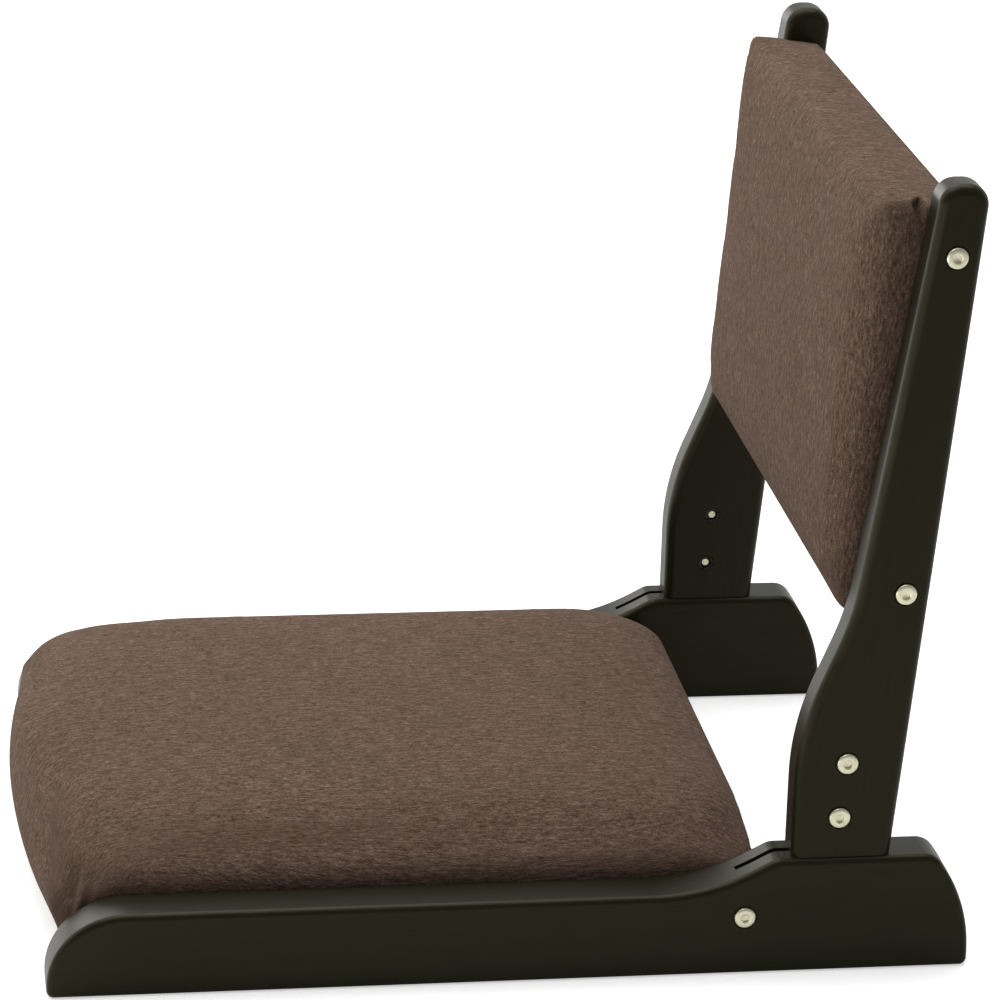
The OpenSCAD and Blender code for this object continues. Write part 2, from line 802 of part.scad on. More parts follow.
module right_hinge_plate() {
    mirror([1, 0, 0])
        left_hinge_plate();
}

// Upright's outline, which runs below its foot so that the foot can be cut square
function upright_outline() =
    let (front = rear_y - foot_back,
         low = [front, rail_rear_h + knee_low_h],
         run = knee_high_h - knee_low_h,
         top = on_upright(upright_h / cos(lean), 0))
    rounded(
        [[front, rail_rear_h - foot_trim], on_upright(-foot_trim / cos(lean), 0), top,
         top - [upright_top_w, 0], low + [run * tan(knee_angle), run], low],
        [0, 0, crown_r, crown_r, knee_r, knee_r]);

// Pocket for the hinge plate, open at the upright's foot
module upright_pocket() {
    w0 = plate_bolt_in - plate_r - pocket_room;
    w1 = foot.x - bend.x + plate_r + pocket_room;
    up = plate_bolt_low + plate_bolt_gap + plate_r + pocket_room;
    plate(
        rounded(
            [on_upright(-foot_trim, w1), on_upright(-foot_trim, w0), on_upright(up, w0),
             on_upright(up, w1)],
            [0, 0, plate_r, plate_r]),
        mid_x - plate_t / 2 - pocket_gap,
        mid_x + plate_t / 2 + pocket_gap);
}

module upright() {
    color("#26221a")
        difference() {
            translate([mid_x, 0, 0])
                board(upright_outline(), upright_t, on_upright(pad_up, plate_bolt_in));
            translate([mid_x - upright_t, foot.x - 2 * foot_w, rail_rear_h - 2 * foot_trim])
                cube([2 * upright_t, 3 * foot_w, 2 * foot_trim]);
            upright_pocket();
            for (p = plate_bolts) {
                bolt_bore(on_upright(p[0], p[1]), upright_x1, upright_x0);
                nut_bore(on_upright(p[0], p[1]), upright_x0);
            }
            for (p = pad_bolts)
                bolt_bore(on_upright(p[0], p[1]), upright_x1, upright_x0);
        }
}

module left_upright() {
    upright();
}

module right_upright() {
    mirror([1, 0, 0])
        upright();
}

module left_plate_bolts() {
    color("#bdb9a8")
        for (p = plate_bolts)
            bolt(on_upright(p[0], p[1]), upright_x1, upright_x0 + bolt_end_in);
}

module right_plate_bolts() {
    mirror([1, 0, 0])
        left_plate_bolts();
}

module left_plate_nuts() {
    color("#2c2b28")
        for (p = plate_bolts)
            nut(on_upright(p[0], p[1]), upright_x0);
}

module right_plate_nuts() {
    mirror([1, 0, 0])
        left_plate_nuts();
}

module left_back_bolts() {
    color("#bdb9a8")
        for (p = pad_bolts)
            bolt(on_upright(p[0], p[1]), upright_x1, stile_x1 - insert_bite);
}

module right_back_bolts() {
    mirror([1, 0, 0])
        left_back_bolts();
}

// Round holes of radius r at the back pad's bolts, from x0 to x1
module pad_bolt_rods(r, x0, x1) {
    for (p = pad_bolts)
        rod(on_upright(p[0], p[1]), r, x0, x1);
}

module back_inserts() {
    color("#b59a4c")
        both()
            difference() {
                pad_bolt_rods(insert_r, stile_x1 - insert_l, stile_x1);
                pad_bolt_rods(bolt_r, stile_x1 - insert_bite, stile_x1 + cut);
            }
}

// Box between two corners
module pad_block(low, high) {
    translate(low)
        cube(high - low);
}

// The same in the back pad's frame
module pad_box(low, high) {
    on_pad()
        pad_block(low, high);
}

module back_left_stile() {
    color("#c9a878")
        difference() {
            pad_box([stile_x1 - stile_w, frame_inset, pad_frame_w],
                    [stile_x1, pad_h - frame_inset, pad_ply_w]);
            pad_bolt_rods(insert_r, stile_x1 - insert_l, stile_x1 + cut);
            back_staples();
        }
}

module back_right_stile() {
    mirror([1, 0, 0])
        back_left_stile();
}

// Top or bottom piece of the back pad's frame, from y0 up
module back_bar(y0) {
    color("#c9a878")
        difference() {
            pad_box([stile_w - stile_x1, y0, pad_frame_w],
                    [stile_x1 - stile_w, y0 + cross_w, pad_ply_w]);
            back_staples();
        }
}

module back_top_bar() {
    back_bar(pad_h - frame_inset - cross_w);
}

module back_bottom_bar() {
    back_bar(frame_inset);
}

module back_plywood() {
    color("#d2b482")
        pad_box([-stile_x1, frame_inset, pad_ply_w], [stile_x1, pad_h - frame_inset, pad_foam_w]);
}

module back_foam_form() {
    last = len(pad_side_shares) - 1;
    loft(
        [at_height(frame_ring(0), pad_foam_w), for (j = [4 : last]) back_row(j, cloth_t)],
        [0, pad_h / 2, pad_foam_w],
        [0, pad_h / 2, pad_t - cloth_t]);
}

module back_foam() {
    color("#e6dcb4")
        on_pad()
            back_foam_form();
}

module back_cover() {
    last = len(pad_side_shares) - 1;
    color("#5f4c42")
        difference() {
            on_pad()
                difference() {
                    loft(
                        [for (j = [0 : last]) back_row(j, 0)],
                        [0, pad_h / 2, panel_t],
                        [0, pad_h / 2, pad_t]);
                    back_foam_form();
                    pad_block([-stile_x1, frame_inset, pad_frame_w],
                              [stile_x1, pad_h - frame_inset, pad_foam_w]);
                    sheet(frame_ring(hem_w), panel_t - cut, pad_frame_w + cut);
                }
            both()
                pad_bolt_rods(bolt_r, stile_x1 - cut, pad_hw + cut);
            back_staples();
        }
}

module back_rear_panel() {
    color("#54433a")
        on_pad()
            sheet(
                ring(
                    pad_hw - panel_inset,
                    panel_inset,
                    pad_h - panel_inset,
                    panel_r,
                    panel_r,
                    0),
                0,
                panel_t);
}

module back_staples() {
    color("#a9a9a4")
        on_pad()
            translate([0, 0, panel_t])
                staple_rows(
                stile_x1,
                pad_h / 2 - frame_inset,
                pad_h / 2,
                back_staple_nx,
                back_staple_ny,
                0);
}

left_rail();
right_rail();
front_cross_bar();
rear_cross_bar();
cross_bar_dowels();
seat_board();
seat_foam();
seat_cover();
seat_lining();
seat_screws();
seat_staples();
left_hinge_bolt();
right_hinge_bolt();
left_hinge_nut();
right_hinge_nut();
left_hinge_washers();
right_hinge_washers();
left_upright();
right_upright();
left_hinge_plate();
right_hinge_plate();
left_plate_bolts();
right_plate_bolts();
left_plate_nuts();
right_plate_nuts();
back_left_stile();
back_right_stile();
back_top_bar();
back_bottom_bar();
back_plywood();
back_foam();
back_cover();
back_rear_panel();
back_staples();
left_back_bolts();
right_back_bolts();
back_inserts();
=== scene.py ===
from math import acos, atan2, cos, pi, radians, sin, tan

import bmesh
import bpy
import numpy as np
from mathutils import Matrix, Vector
from mathutils.bvhtree import BVHTree
from mathutils.interpolate import poly_3d_calc


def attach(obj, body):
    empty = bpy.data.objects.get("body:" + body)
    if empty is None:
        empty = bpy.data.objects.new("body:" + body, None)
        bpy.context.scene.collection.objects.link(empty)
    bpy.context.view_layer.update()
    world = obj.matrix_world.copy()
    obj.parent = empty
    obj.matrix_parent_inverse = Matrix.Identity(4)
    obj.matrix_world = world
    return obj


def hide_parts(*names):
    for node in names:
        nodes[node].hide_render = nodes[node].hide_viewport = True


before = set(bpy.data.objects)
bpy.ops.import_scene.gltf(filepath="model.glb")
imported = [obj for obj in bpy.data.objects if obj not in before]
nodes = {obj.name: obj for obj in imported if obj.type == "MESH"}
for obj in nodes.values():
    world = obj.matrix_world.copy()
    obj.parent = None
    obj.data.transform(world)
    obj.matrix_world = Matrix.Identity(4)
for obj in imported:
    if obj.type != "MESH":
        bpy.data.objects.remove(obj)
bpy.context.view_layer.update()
MM = 0.001

# Sizes in millimetres, as in the part's source
RAIL_X0, RAIL_X1 = 182.5, 212.5
UP_X0, UP_X1 = 185.5, 209.5
MID_X = 197.5
FRONT_Y, REAR_Y = -246.0, 258.0
RAIL_FRONT_H, RAIL_REAR_H, NOSE_L, NOSE_H, TOE_R = 47.5, 67.0, 44.0, 41.0, 4.0
RAMP_FOOT, RAMP_ANGLE, RAMP_FOOT_R, RAMP_TOP_R = 146.0, radians(28), 120.0, 12.0
HEEL_L, HEEL_ANGLE, HEEL_R, HEEL_TOP_R = 21.0, radians(56), 92.0, 12.0
UP_FRONT_Y, UP_H, UP_TOP_W, CROWN_R = 157.0, 376.5, 26.3, 11.5
KNEE_LOW, KNEE_HIGH, KNEE_ANGLE, KNEE_R = 70.8, 137.0, radians(22), 150.0
PIVOT = (132.1, 34.0)
NECK, BEND = (PIVOT[0] + 31.0, PIVOT[1] - 11.0), (PIVOT[0] + 42.7, RAIL_REAR_H - 4.5)
SLOT_ANGLE, SLOT_ROOM, SLOT_X0, SLOT_X1 = radians(89), 11.6, 195.4, 199.6
POCKET_X0, POCKET_X1, POCKET_W0, POCKET_W1, POCKET_UP, PLATE_R = 195.9, 199.1, 21.4, 47.4, 62.3, 9.0
FOOT = (212.0, RAIL_REAR_H)
LEAN = radians(4.98)
PLATE_BOLTS = ((20.4, 31.6), (52.1, 31.6))
PAD_BOLTS = ((151.0, 13.6), (337.8, 13.6))
BACK_BOLT_TIP_X = 167.5
BOLT_END_IN = 2.2
DOWEL_Y, DOWEL_Z, DOWEL_R, DOWEL_L = (-208, -188, 80, 100), 14.4, 4.0, 30.0
PAD_UP, PAD_IN, PAD_H, PAD_T, PAD_HW = 131.8, 3.5, 228.0, 53.2, 185.1
PAD_FOAM_W, PAD_SWELL, PANEL_T, PANEL_INSET, PANEL_R = 23.2, 3.4, 2.0, 7.0, 5.0
PAD_RISE = PAD_T - PAD_FOAM_W
SEAT_HW, SEAT_Y0, SEAT_Y1, SEAT_BOW = 182.1, -258.0, 146.5, 15.5
SEAT_BOTTOM, SEAT_FOAM_H, SEAT_RISE = 25.0, 38.2, 45.9
LINING_Z = 24.4


def on_upright(up, forward):
    s, c = sin(LEAN), cos(LEAN)
    return (FOOT[0] + up * s - forward * c, FOOT[1] + up * c + forward * s)


# Mesh helpers

def placed(name, data):
    """A new object in the scene."""
    ob = bpy.data.objects.new(name, data)
    bpy.context.scene.collection.objects.link(ob)
    return ob


def bands(levels, n):
    """Faces between rows of n vertices each, one row after the other."""
    return [(j * n + i, j * n + (i + 1) % n, (j + 1) * n + (i + 1) % n, (j + 1) * n + i)
            for j in range(levels - 1) for i in range(n)]


def capped(levels, n):
    """The same faces, closed with a flat one at either end."""
    return bands(levels, n) + [tuple(range(n - 1, -1, -1)), tuple((levels - 1) * n + i for i in range(n))]


def fanned(levels, n):
    """The same faces, closed at either end by a fan; the two middle vertices come last."""
    low, high, top = levels * n, levels * n + 1, (levels - 1) * n
    return (bands(levels, n) + [(low, (i + 1) % n, i) for i in range(n)]
            + [(high, top + i, top + (i + 1) % n) for i in range(n)])


def new_mesh(name, verts, faces, smooth=True):
    """A mesh object from vertices in millimetres."""
    me = bpy.data.meshes.new(name)
    me.from_pydata([tuple(float(c) * MM for c in v) for v in verts], [], [list(map(int, f)) for f in faces])
    me.update()
    ob = placed(name, me)
    if smooth:
        me.shade_smooth()
    return ob


def sharpen(ob, angle=32.0):
    ob.data.shade_smooth()
    ob.data.set_sharp_from_angle(angle=radians(angle))


def weigh_normals(ob):
    mod = ob.modifiers.new("normals", "WEIGHTED_NORMAL")
    mod.mode = "FACE_AREA"
    mod.weight = 60
    mod.keep_sharp = True


def apply_modifiers(ob):
    dg = bpy.context.evaluated_depsgraph_get()
    me = bpy.data.meshes.new_from_object(ob.evaluated_get(dg), preserve_all_data_layers=True, depsgraph=dg)
    ob.modifiers.clear()
    old = ob.data
    ob.data = me
    bpy.data.meshes.remove(old)


def join(name, objects):
    """One object from several, each with its own materials."""
    bm = bmesh.new()
    mats = []
    for o in objects:
        start = len(bm.faces)
        bm.from_mesh(o.data)
        bm.faces.ensure_lookup_table()
        for f in bm.faces[start:]:
            m = o.data.materials[f.material_index] if o.data.materials else None
            if m not in mats:
                mats.append(m)
            f.material_index = mats.index(m)
    me = bpy.data.meshes.new(name)
    bm.to_mesh(me)
    bm.free()
    for m in mats:
        me.materials.append(m)
    ob = placed(name, me)
    for o in objects:
        old = o.data
        bpy.data.objects.remove(o)
        bpy.data.meshes.remove(old)
    return ob


def mirrored(ob, name):
    """A copy of an object, mirrored to the other side of the chair."""
    me = ob.data.copy()
    me.name = name
    me.transform(Matrix.Scale(-1, 4, (1, 0, 0)))
    me.flip_normals()
    me.update()
    return placed(name, me)


# Outlines

def corner(a, b, c, r, steps):
    a, b, c = (np.array(p, float) for p in (a, b, c))
    if r == 0:
        return [b]
    u, w = (a - b) / np.linalg.norm(a - b), (c - b) / np.linalg.norm(c - b)
    half = acos(float(u @ w)) / 2
    m = (u + w) / np.linalg.norm(u + w)
    centre = b + m * r / sin(half)
    p, q = b + u * r / tan(half) - centre, b + w * r / tan(half) - centre
    start = atan2(p[1], p[0])
    sweep = (atan2(q[1], q[0]) - start + 3 * pi) % (2 * pi) - pi
    turns = [start + sweep * i / steps for i in range(steps + 1)]
    return [centre + r * np.array([cos(a), sin(a)]) for a in turns]


def rounded(points, radii, steps=14):
    n = len(points)
    out = []
    for i in range(n):
        out += corner(points[i - 1], points[i], points[(i + 1) % n], radii[i], steps)
    return np.array(out)


def inward(outline, d):
    before = outline - np.roll(outline, 1, 0)
    before /= np.linalg.norm(before, axis=1)[:, None]
    after = np.roll(before, -1, 0)
    normal = np.c_[-before[:, 1], before[:, 0]]
    mitre = normal + np.c_[-after[:, 1], after[:, 0]]
    mitre /= np.linalg.norm(mitre, axis=1)[:, None]
    return outline + mitre * d / np.sum(mitre * normal, axis=1)[:, None]


def rail_outline():
    ramp_y = REAR_Y - RAMP_FOOT
    nose = [(FRONT_Y + NOSE_L * (1 - sin(a)), RAIL_FRONT_H - NOSE_H * (1 - cos(a)))
            for a in np.linspace(0, pi / 2, 28)]
    points = [(FRONT_Y, 0), (REAR_Y, 0), (REAR_Y, RAIL_REAR_H - HEEL_L * tan(HEEL_ANGLE)),
              (REAR_Y - HEEL_L, RAIL_REAR_H),
              (ramp_y + (RAIL_REAR_H - RAIL_FRONT_H) / tan(RAMP_ANGLE), RAIL_REAR_H),
              (ramp_y, RAIL_FRONT_H)] + nose
    return rounded(points, [TOE_R, TOE_R, HEEL_R, HEEL_TOP_R, RAMP_TOP_R, RAMP_FOOT_R] + [0] * len(nose))


def upright_outline():
    low = (UP_FRONT_Y, RAIL_REAR_H + KNEE_LOW)
    run = KNEE_HIGH - KNEE_LOW
    top = on_upright(UP_H / cos(LEAN), 0)
    points = [(UP_FRONT_Y, RAIL_REAR_H - 8), on_upright(-8 / cos(LEAN), 0), top,
              (top[0] - UP_TOP_W, top[1]), (low[0] + run * tan(KNEE_ANGLE), low[1] + run), low]
    return rounded(points, [0, 0, CROWN_R, CROWN_R, KNEE_R, KNEE_R])


def board(name, outline, mid_x, t, edge_r, steps=7):
    """A board across X with its edges rounded over."""
    verts = []
    angles = [90 * j / steps for j in range(steps + 1)]
    levels = [(-1, a) for a in angles] + [(1, a) for a in reversed(angles)]
    for side, a in levels:
        depth = t / 2 - edge_r * (1 - cos(radians(a)))
        ring = inward(outline, edge_r * (1 - sin(radians(a))))
        verts += [(mid_x + side * depth, p[0], p[1]) for p in ring]
    return new_mesh(name, verts, capped(len(levels), len(outline)))


def prism(name, outline, x0, x1):
    verts = [(x, p[0], p[1]) for x in (x0, x1) for p in outline]
    return new_mesh(name, verts, capped(2, len(outline)), False)


def polar(p, r, a):
    return (p[0] + r * cos(a), p[1] + r * sin(a))


def lathe(name, profile, p, segments=64):
    """A closed body of revolution about X through p; profile is (x, r) with r = 0 at both ends."""
    verts, faces = [], []
    for x, r in profile:
        for i in range(segments if r > 0 else 1):
            verts.append((x, *polar(p, r, 2 * pi * i / segments)))
    start = 0
    for (_, ra), (_, rb) in zip(profile, profile[1:]):
        na, nb = (segments if r > 0 else 1 for r in (ra, rb))
        for i in range(segments):
            j = (i + 1) % segments
            if na == 1:
                faces.append((start, start + 1 + j, start + 1 + i))
            elif nb == 1:
                faces.append((start + i, start + j, start + na))
            else:
                faces.append((start + i, start + j, start + na + j, start + na + i))
        start += na
    return new_mesh(name, verts, faces)


def cut(ob, cutters):
    tool = join("cutters", cutters)
    mod = ob.modifiers.new("cut", "BOOLEAN")
    mod.operation, mod.object, mod.solver = "DIFFERENCE", tool, "EXACT"
    mod.use_self = True
    bpy.context.view_layer.update()
    apply_modifiers(ob)
    me = tool.data
    bpy.data.objects.remove(tool)
    bpy.data.meshes.remove(me)


# Node helpers

class Nodes:
    """Short hand for building a node material."""

    def __init__(self, name):
        self.mat = bpy.data.materials.new(name)
        self.mat.use_nodes = True
        self.tree = self.mat.node_tree
        self.tree.nodes.clear()
        self.out = self.add("ShaderNodeOutputMaterial")
        self.bsdf = self.add("ShaderNodeBsdfPrincipled")
        self.link(self.bsdf.outputs[0], self.out.inputs[0])

    def add(self, kind, **values):
        node = self.tree.nodes.new(kind)
        for key, value in values.items():
            setattr(node, key, value)
        return node

    def link(self, a, b):
        self.tree.links.new(a, b)

    def put(self, socket, value):
        if hasattr(value, "is_output"):
            self.link(value, socket)
        else:
            socket.default_value = value

    def coords(self, kind="Object"):
        return self.add("ShaderNodeTexCoord").outputs[kind]

    def fill(self, node, **values):
        """Links or sets a node's inputs by their names."""
        for key, value in values.items():
            self.put(node.inputs[key.replace("_", " ")], value)
        return node

    def mapping(self, vector, scale=(1, 1, 1), rotation=(0, 0, 0)):
        n = self.add("ShaderNodeMapping")
        return self.fill(n, Vector=vector, Scale=scale, Rotation=rotation).outputs[0]

    def noise(self, vector, scale, detail=3.0, rough=0.55, distortion=0.0):
        n = self.add("ShaderNodeTexNoise")
        self.fill(n, Vector=vector, Scale=scale, Detail=detail, Roughness=rough, Distortion=distortion)
        return n.outputs["Fac"]

    def math(self, op, a, b=0.5, clamp=False):
        n = self.add("ShaderNodeMath", operation=op, use_clamp=clamp)
        self.put(n.inputs[0], a)
        self.put(n.inputs[1], b)
        return n.outputs[0]

    def times(self, a, b, clamp=False):
        return self.math("MULTIPLY", a, b, clamp)

    def plus(self, a, b):
        return self.math("ADD", a, b)

    def ramp(self, fac, low, high, to=(0.0, 1.0)):
        n = self.add("ShaderNodeMapRange")
        return self.fill(n, Value=fac, From_Min=low, From_Max=high, To_Min=to[0], To_Max=to[1]).outputs[0]

    def mix(self, fac, a, b):
        # Inputs 6 and 7 and output 2 are this node's colours
        n = self.add("ShaderNodeMix", data_type="RGBA")
        self.put(n.inputs[0], fac)
        self.put(n.inputs[6], a)
        self.put(n.inputs[7], b)
        return n.outputs[2]

    def split(self, vector):
        n = self.add("ShaderNodeSeparateXYZ")
        self.link(vector, n.inputs[0])
        return n.outputs

    def bump(self, height, distance, strength=1.0, normal=None):
        n = self.fill(self.add("ShaderNodeBump"), Height=height, Distance=distance, Strength=strength)
        if normal is not None:
            self.link(normal, n.inputs["Normal"])
        return n.outputs[0]

    def set(self, **values):
        self.fill(self.bsdf, **values)
        return self.mat


def rgb(r, g, b):
    """An sRGB colour, 0 to 255, as a linear one."""
    out = [c / 255 / 12.92 if c <= 10.3 else ((c / 255 + 0.055) / 1.055) ** 2.4 for c in (r, g, b)]
    return (*out, 1.0)


# Materials

def lacquered(name, turn):
    """Satin black-brown lacquer over wood whose grain runs along Y, after a turn about X."""
    m = Nodes(name)
    co = m.mapping(m.coords(), rotation=(turn, 0, 0))
    long = m.noise(m.mapping(co, scale=(230, 7, 230)), 1.0, 5, 0.6, 0.3)
    pores = m.ramp(m.noise(m.mapping(co, scale=(900, 26, 900)), 1.0, 2, 0.5), 0.56, 0.72)
    patch = m.noise(co, 9.0, 3, 0.5)
    colour = m.mix(long, rgb(21, 20, 8), rgb(29, 27, 12))
    colour = m.mix(m.times(pores, 0.5), colour, rgb(17, 15, 8))
    # Rounded edges are painted lighter in patches: partly rubbed wear, partly a painted highlight along the
    # edges
    normal = m.split(m.coords("Normal"))
    nx2 = m.times(normal[0], normal[0])
    edge = m.times(m.times(nx2, m.math("SUBTRACT", 1.0, nx2)), 4.0)
    wear_highlight_patches = m.ramp(m.noise(m.mapping(co, scale=(60, 30, 60)), 1.0, 4, 0.6), 0.52, 0.78)
    wear_and_highlight = m.times(m.math("POWER", edge, 2.0), wear_highlight_patches, clamp=True)
    colour = m.mix(m.times(wear_and_highlight, 0.3), colour, rgb(66, 54, 38))
    rough = m.plus(m.ramp(patch, 0.3, 0.7, (0.3, 0.37)), m.times(pores, 0.08))
    height = m.plus(m.times(long, 0.5), m.times(pores, -0.6))
    orange = m.noise(co, 420.0, 2, 0.4)
    bump = m.bump(height, 0.00003, 0.5)
    bump = m.bump(orange, 0.00002, 0.4, bump)
    return m.set(Base_Color=colour, Roughness=rough, Specular_IOR_Level=0.2,
                 Specular_Tint=(1.0, 0.94, 0.66, 1.0), Normal=bump)


# Sizes of the cloth's weave, of plywood's layers and of the lining's dots, in metres
YARN_W, TWILL_W, RIB_W, LAYER_T, DOT_W = 0.0008, 0.00155, 0.00074, 0.0034, 0.0016


def heather(name, colours):
    """Woven heather cloth: twill, short slubs along V and fibres in several browns. UV is in metres."""
    dark, mid, light = colours
    m = Nodes(name)
    uv = m.add("ShaderNodeUVMap", uv_map="weave").outputs[0]
    u, v = m.split(uv)[:2]
    wobble = m.times(m.math("SUBTRACT", m.noise(uv, 220.0, 2, 0.5), 0.5), 0.0002)
    yarn = m.add("ShaderNodeCombineXYZ")
    m.link(m.math("SNAP", m.plus(u, m.times(wobble, 1.5)), YARN_W), yarn.inputs[0])
    m.link(m.math("SNAP", v, YARN_W), yarn.inputs[1])
    yarn = yarn.outputs[0]
    diagonal = m.plus(m.plus(u, m.times(v, -0.9)), wobble)
    twill = m.ramp(m.math("SINE", m.times(diagonal, 2 * pi / TWILL_W)), -1.0, 1.0)
    rib = m.ramp(m.math("SINE", m.times(u, 2 * pi / RIB_W)), -1.0, 1.0)
    slubs = m.ramp(m.noise(m.mapping(yarn, scale=(1150, 280, 1)), 1.0, 2, 0.55), 0.3, 0.7)
    runs = m.ramp(m.noise(m.mapping(uv, scale=(420, 75, 1)), 1.0, 2, 0.6), 0.32, 0.68)
    specks = m.ramp(m.noise(m.mapping(yarn, scale=(1300, 1000, 1)), 1.0, 2, 0.7), 0.3, 0.7)
    cloud = m.noise(uv, 16.0, 3, 0.55)
    tone = m.plus(m.times(slubs, 0.45), m.times(runs, 0.25))
    tone = m.plus(tone, m.times(specks, 0.3))
    low = m.mix(m.ramp(tone, 0.2, 0.5), dark, mid)
    colour = m.mix(m.ramp(tone, 0.5, 0.82), low, light)
    groove = m.times(m.math("SUBTRACT", 1.0, twill), 0.24)
    colour = m.mix(groove, colour, dark)
    shade = m.add("ShaderNodeMix", data_type="RGBA", blend_type="MULTIPLY")
    shade.inputs[0].default_value = 1.0
    m.link(colour, shade.inputs[6])
    m.link(m.mix(m.ramp(cloud, 0.3, 0.7), (0.93, 0.95, 0.9, 1), (1.06, 1.03, 1.08, 1)), shade.inputs[7])
    height = m.plus(m.times(twill, 0.55),
                    m.plus(m.times(slubs, 0.25), m.times(rib, 0.2)))
    bump = m.bump(height, 0.00018, 0.8)
    bump = m.bump(m.noise(uv, 55.0, 3, 0.5), 0.0006, 0.2, bump)
    return m.set(Base_Color=shade.outputs[2], Roughness=0.95, Specular_IOR_Level=0.05,
                 Sheen_Weight=0.02, Sheen_Roughness=0.5, Normal=bump)


def metal(name, colour, rough, scratch=0.05, metallic=1.0, grain=(1, 1, 1)):
    m = Nodes(name)
    co = m.coords()
    fine = m.noise(m.mapping(co, scale=tuple(900 * g for g in grain)), 1.0, 3, 0.6)
    spots = m.noise(co, 160.0, 3, 0.6)
    tone = m.mix(m.ramp(spots, 0.35, 0.7), tuple(c * 0.86 for c in colour[:3]) + (1,), colour)
    roughness = m.ramp(fine, 0.3, 0.7, (rough - scratch, rough + scratch))
    return m.set(Base_Color=tone, Metallic=metallic, Roughness=roughness,
                 Normal=m.bump(fine, 0.00001, 0.5))


def timber(name, pale, deep, stretch, rings=26.0):
    """Bare wood; stretch is the mapping scale that draws the grain out along its board."""
    m = Nodes(name)
    co = m.mapping(m.coords(), scale=stretch)
    warp = m.noise(co, 2.5, 4, 0.55, 0.4)
    band = m.ramp(m.math("SINE", m.times(warp, rings)), -1.0, 1.0)
    fibre = m.noise(m.mapping(co, scale=(14, 14, 14)), 1.0, 4, 0.65)
    colour = m.mix(m.times(band, 0.6), pale, deep)
    colour = m.mix(m.times(m.ramp(fibre, 0.45, 0.7), 0.35), colour, deep)
    height = m.plus(m.times(band, 0.3), fibre)
    return m.set(Base_Color=colour, Roughness=m.ramp(fibre, 0.3, 0.7, (0.5, 0.66)),
                 Normal=m.bump(height, 0.00012, 0.5))


def plain(name, colour, rough, speck=0.1, scale=300.0, depth=0.00003):
    m = Nodes(name)
    co = m.coords()
    n = m.noise(co, scale, 4, 0.6)
    other = tuple(c * (1 - 2 * speck) for c in colour[:3]) + (1,)
    return m.set(Base_Color=m.mix(m.ramp(n, 0.35, 0.7), colour, other),
                 Roughness=m.ramp(n, 0.3, 0.7, (rough - 0.05, rough + 0.05)),
                 Normal=m.bump(n, depth, 0.6))


def layered_ply(name):
    """Plywood: veneer layers across the thickness, grain on the faces."""
    m = Nodes(name)
    co = m.coords()
    grain = m.noise(m.mapping(co, scale=(9, 240, 240)), 1.0, 4, 0.6)
    layers = m.ramp(m.math("SINE", m.times(m.split(co)[2], 2 * pi / LAYER_T)), -0.4, 0.4)
    colour = m.mix(m.times(grain, 0.8), rgb(214, 182, 132), rgb(168, 130, 84))
    colour = m.mix(m.times(layers, 0.3), colour, rgb(140, 104, 66))
    return m.set(Base_Color=colour, Roughness=0.6, Normal=m.bump(grain, 0.0001, 0.5))


def felt(name):
    """Black spun-bonded lining with its embossed dots."""
    m = Nodes(name)
    co = m.coords()
    x, y = m.split(co)[:2]
    dots = m.times(m.math("SINE", m.times(x, 2 * pi / DOT_W)),
                  m.math("SINE", m.times(y, 2 * pi / DOT_W)))
    dots = m.ramp(dots, 0.25, 0.8)
    fibre = m.noise(m.mapping(co, scale=(1, 1.6, 1)), 900.0, 3, 0.7)
    colour = m.mix(fibre, rgb(24, 24, 25), rgb(44, 44, 46))
    height = m.math("SUBTRACT", fibre, dots)
    return m.set(Base_Color=colour, Roughness=0.85, Specular_IOR_Level=0.3,
                 Normal=m.bump(height, 0.0001, 0.6))


# Colours of the cloth's fibres, from dark to light
BROWNS = (rgb(66, 50, 41), rgb(97, 79, 67), rgb(132, 111, 95))
MAT = {
    "rail": lacquered("lacquer_along_y", 0.0),
    "upright": lacquered("lacquer_upright", radians(-90) + LEAN),
    "cloth": heather("heather_cloth", BROWNS),
    "nickel": metal("satin_nickel", rgb(238, 234, 204), 0.33),
    "black_steel": metal("black_oxide", rgb(44, 42, 38), 0.42, metallic=0.6),
    "plate_steel": metal("plate_steel", rgb(92, 90, 86), 0.4, grain=(1, 8, 1)),
    "zinc": metal("zinc_steel", rgb(176, 176, 172), 0.36),
    "brass": metal("insert_brass", rgb(190, 158, 88), 0.34),
    "nylon": plain("nylon", rgb(226, 224, 214), 0.45),
    "bar": timber("bar_wood", rgb(206, 176, 130), rgb(164, 124, 80), (3, 40, 40)),
    "stile": timber("stile_wood", rgb(206, 176, 130), rgb(164, 124, 80), (40, 40, 3)),
    "dowel": timber("dowel_wood", rgb(220, 192, 148), rgb(186, 150, 104), (3, 60, 60)),
    "ply": layered_ply("plywood"),
    "foam": plain("foam", rgb(228, 218, 178), 0.9, 0.08, 700.0, 0.0003),
    "lining": felt("lining"),
}


def dress(ob, key):
    ob.data.materials.clear()
    ob.data.materials.append(MAT[key])


def repaint(node, key):
    """A carried-over CAD node gets a procedural material."""
    for s in nodes[node].material_slots:
        s.material = MAT[key]


for key, kept in (("bar", ("front_cross_bar", "rear_cross_bar", "back_top_bar", "back_bottom_bar")),
                  ("stile", ("back_left_stile", "back_right_stile")),
                  ("zinc", ("seat_screws", "seat_staples", "back_staples")),
                  ("plate_steel", ("left_hinge_plate", "right_hinge_plate")),
                  ("nylon", ("left_hinge_washers", "right_hinge_washers")),
                  ("dowel", ("cross_bar_dowels",)),
                  ("ply", ("seat_board", "back_plywood")),
                  ("brass", ("back_inserts",)),
                  ("lining", ("seat_lining",))):
    for node in kept:
        repaint(node, key)


# Boards

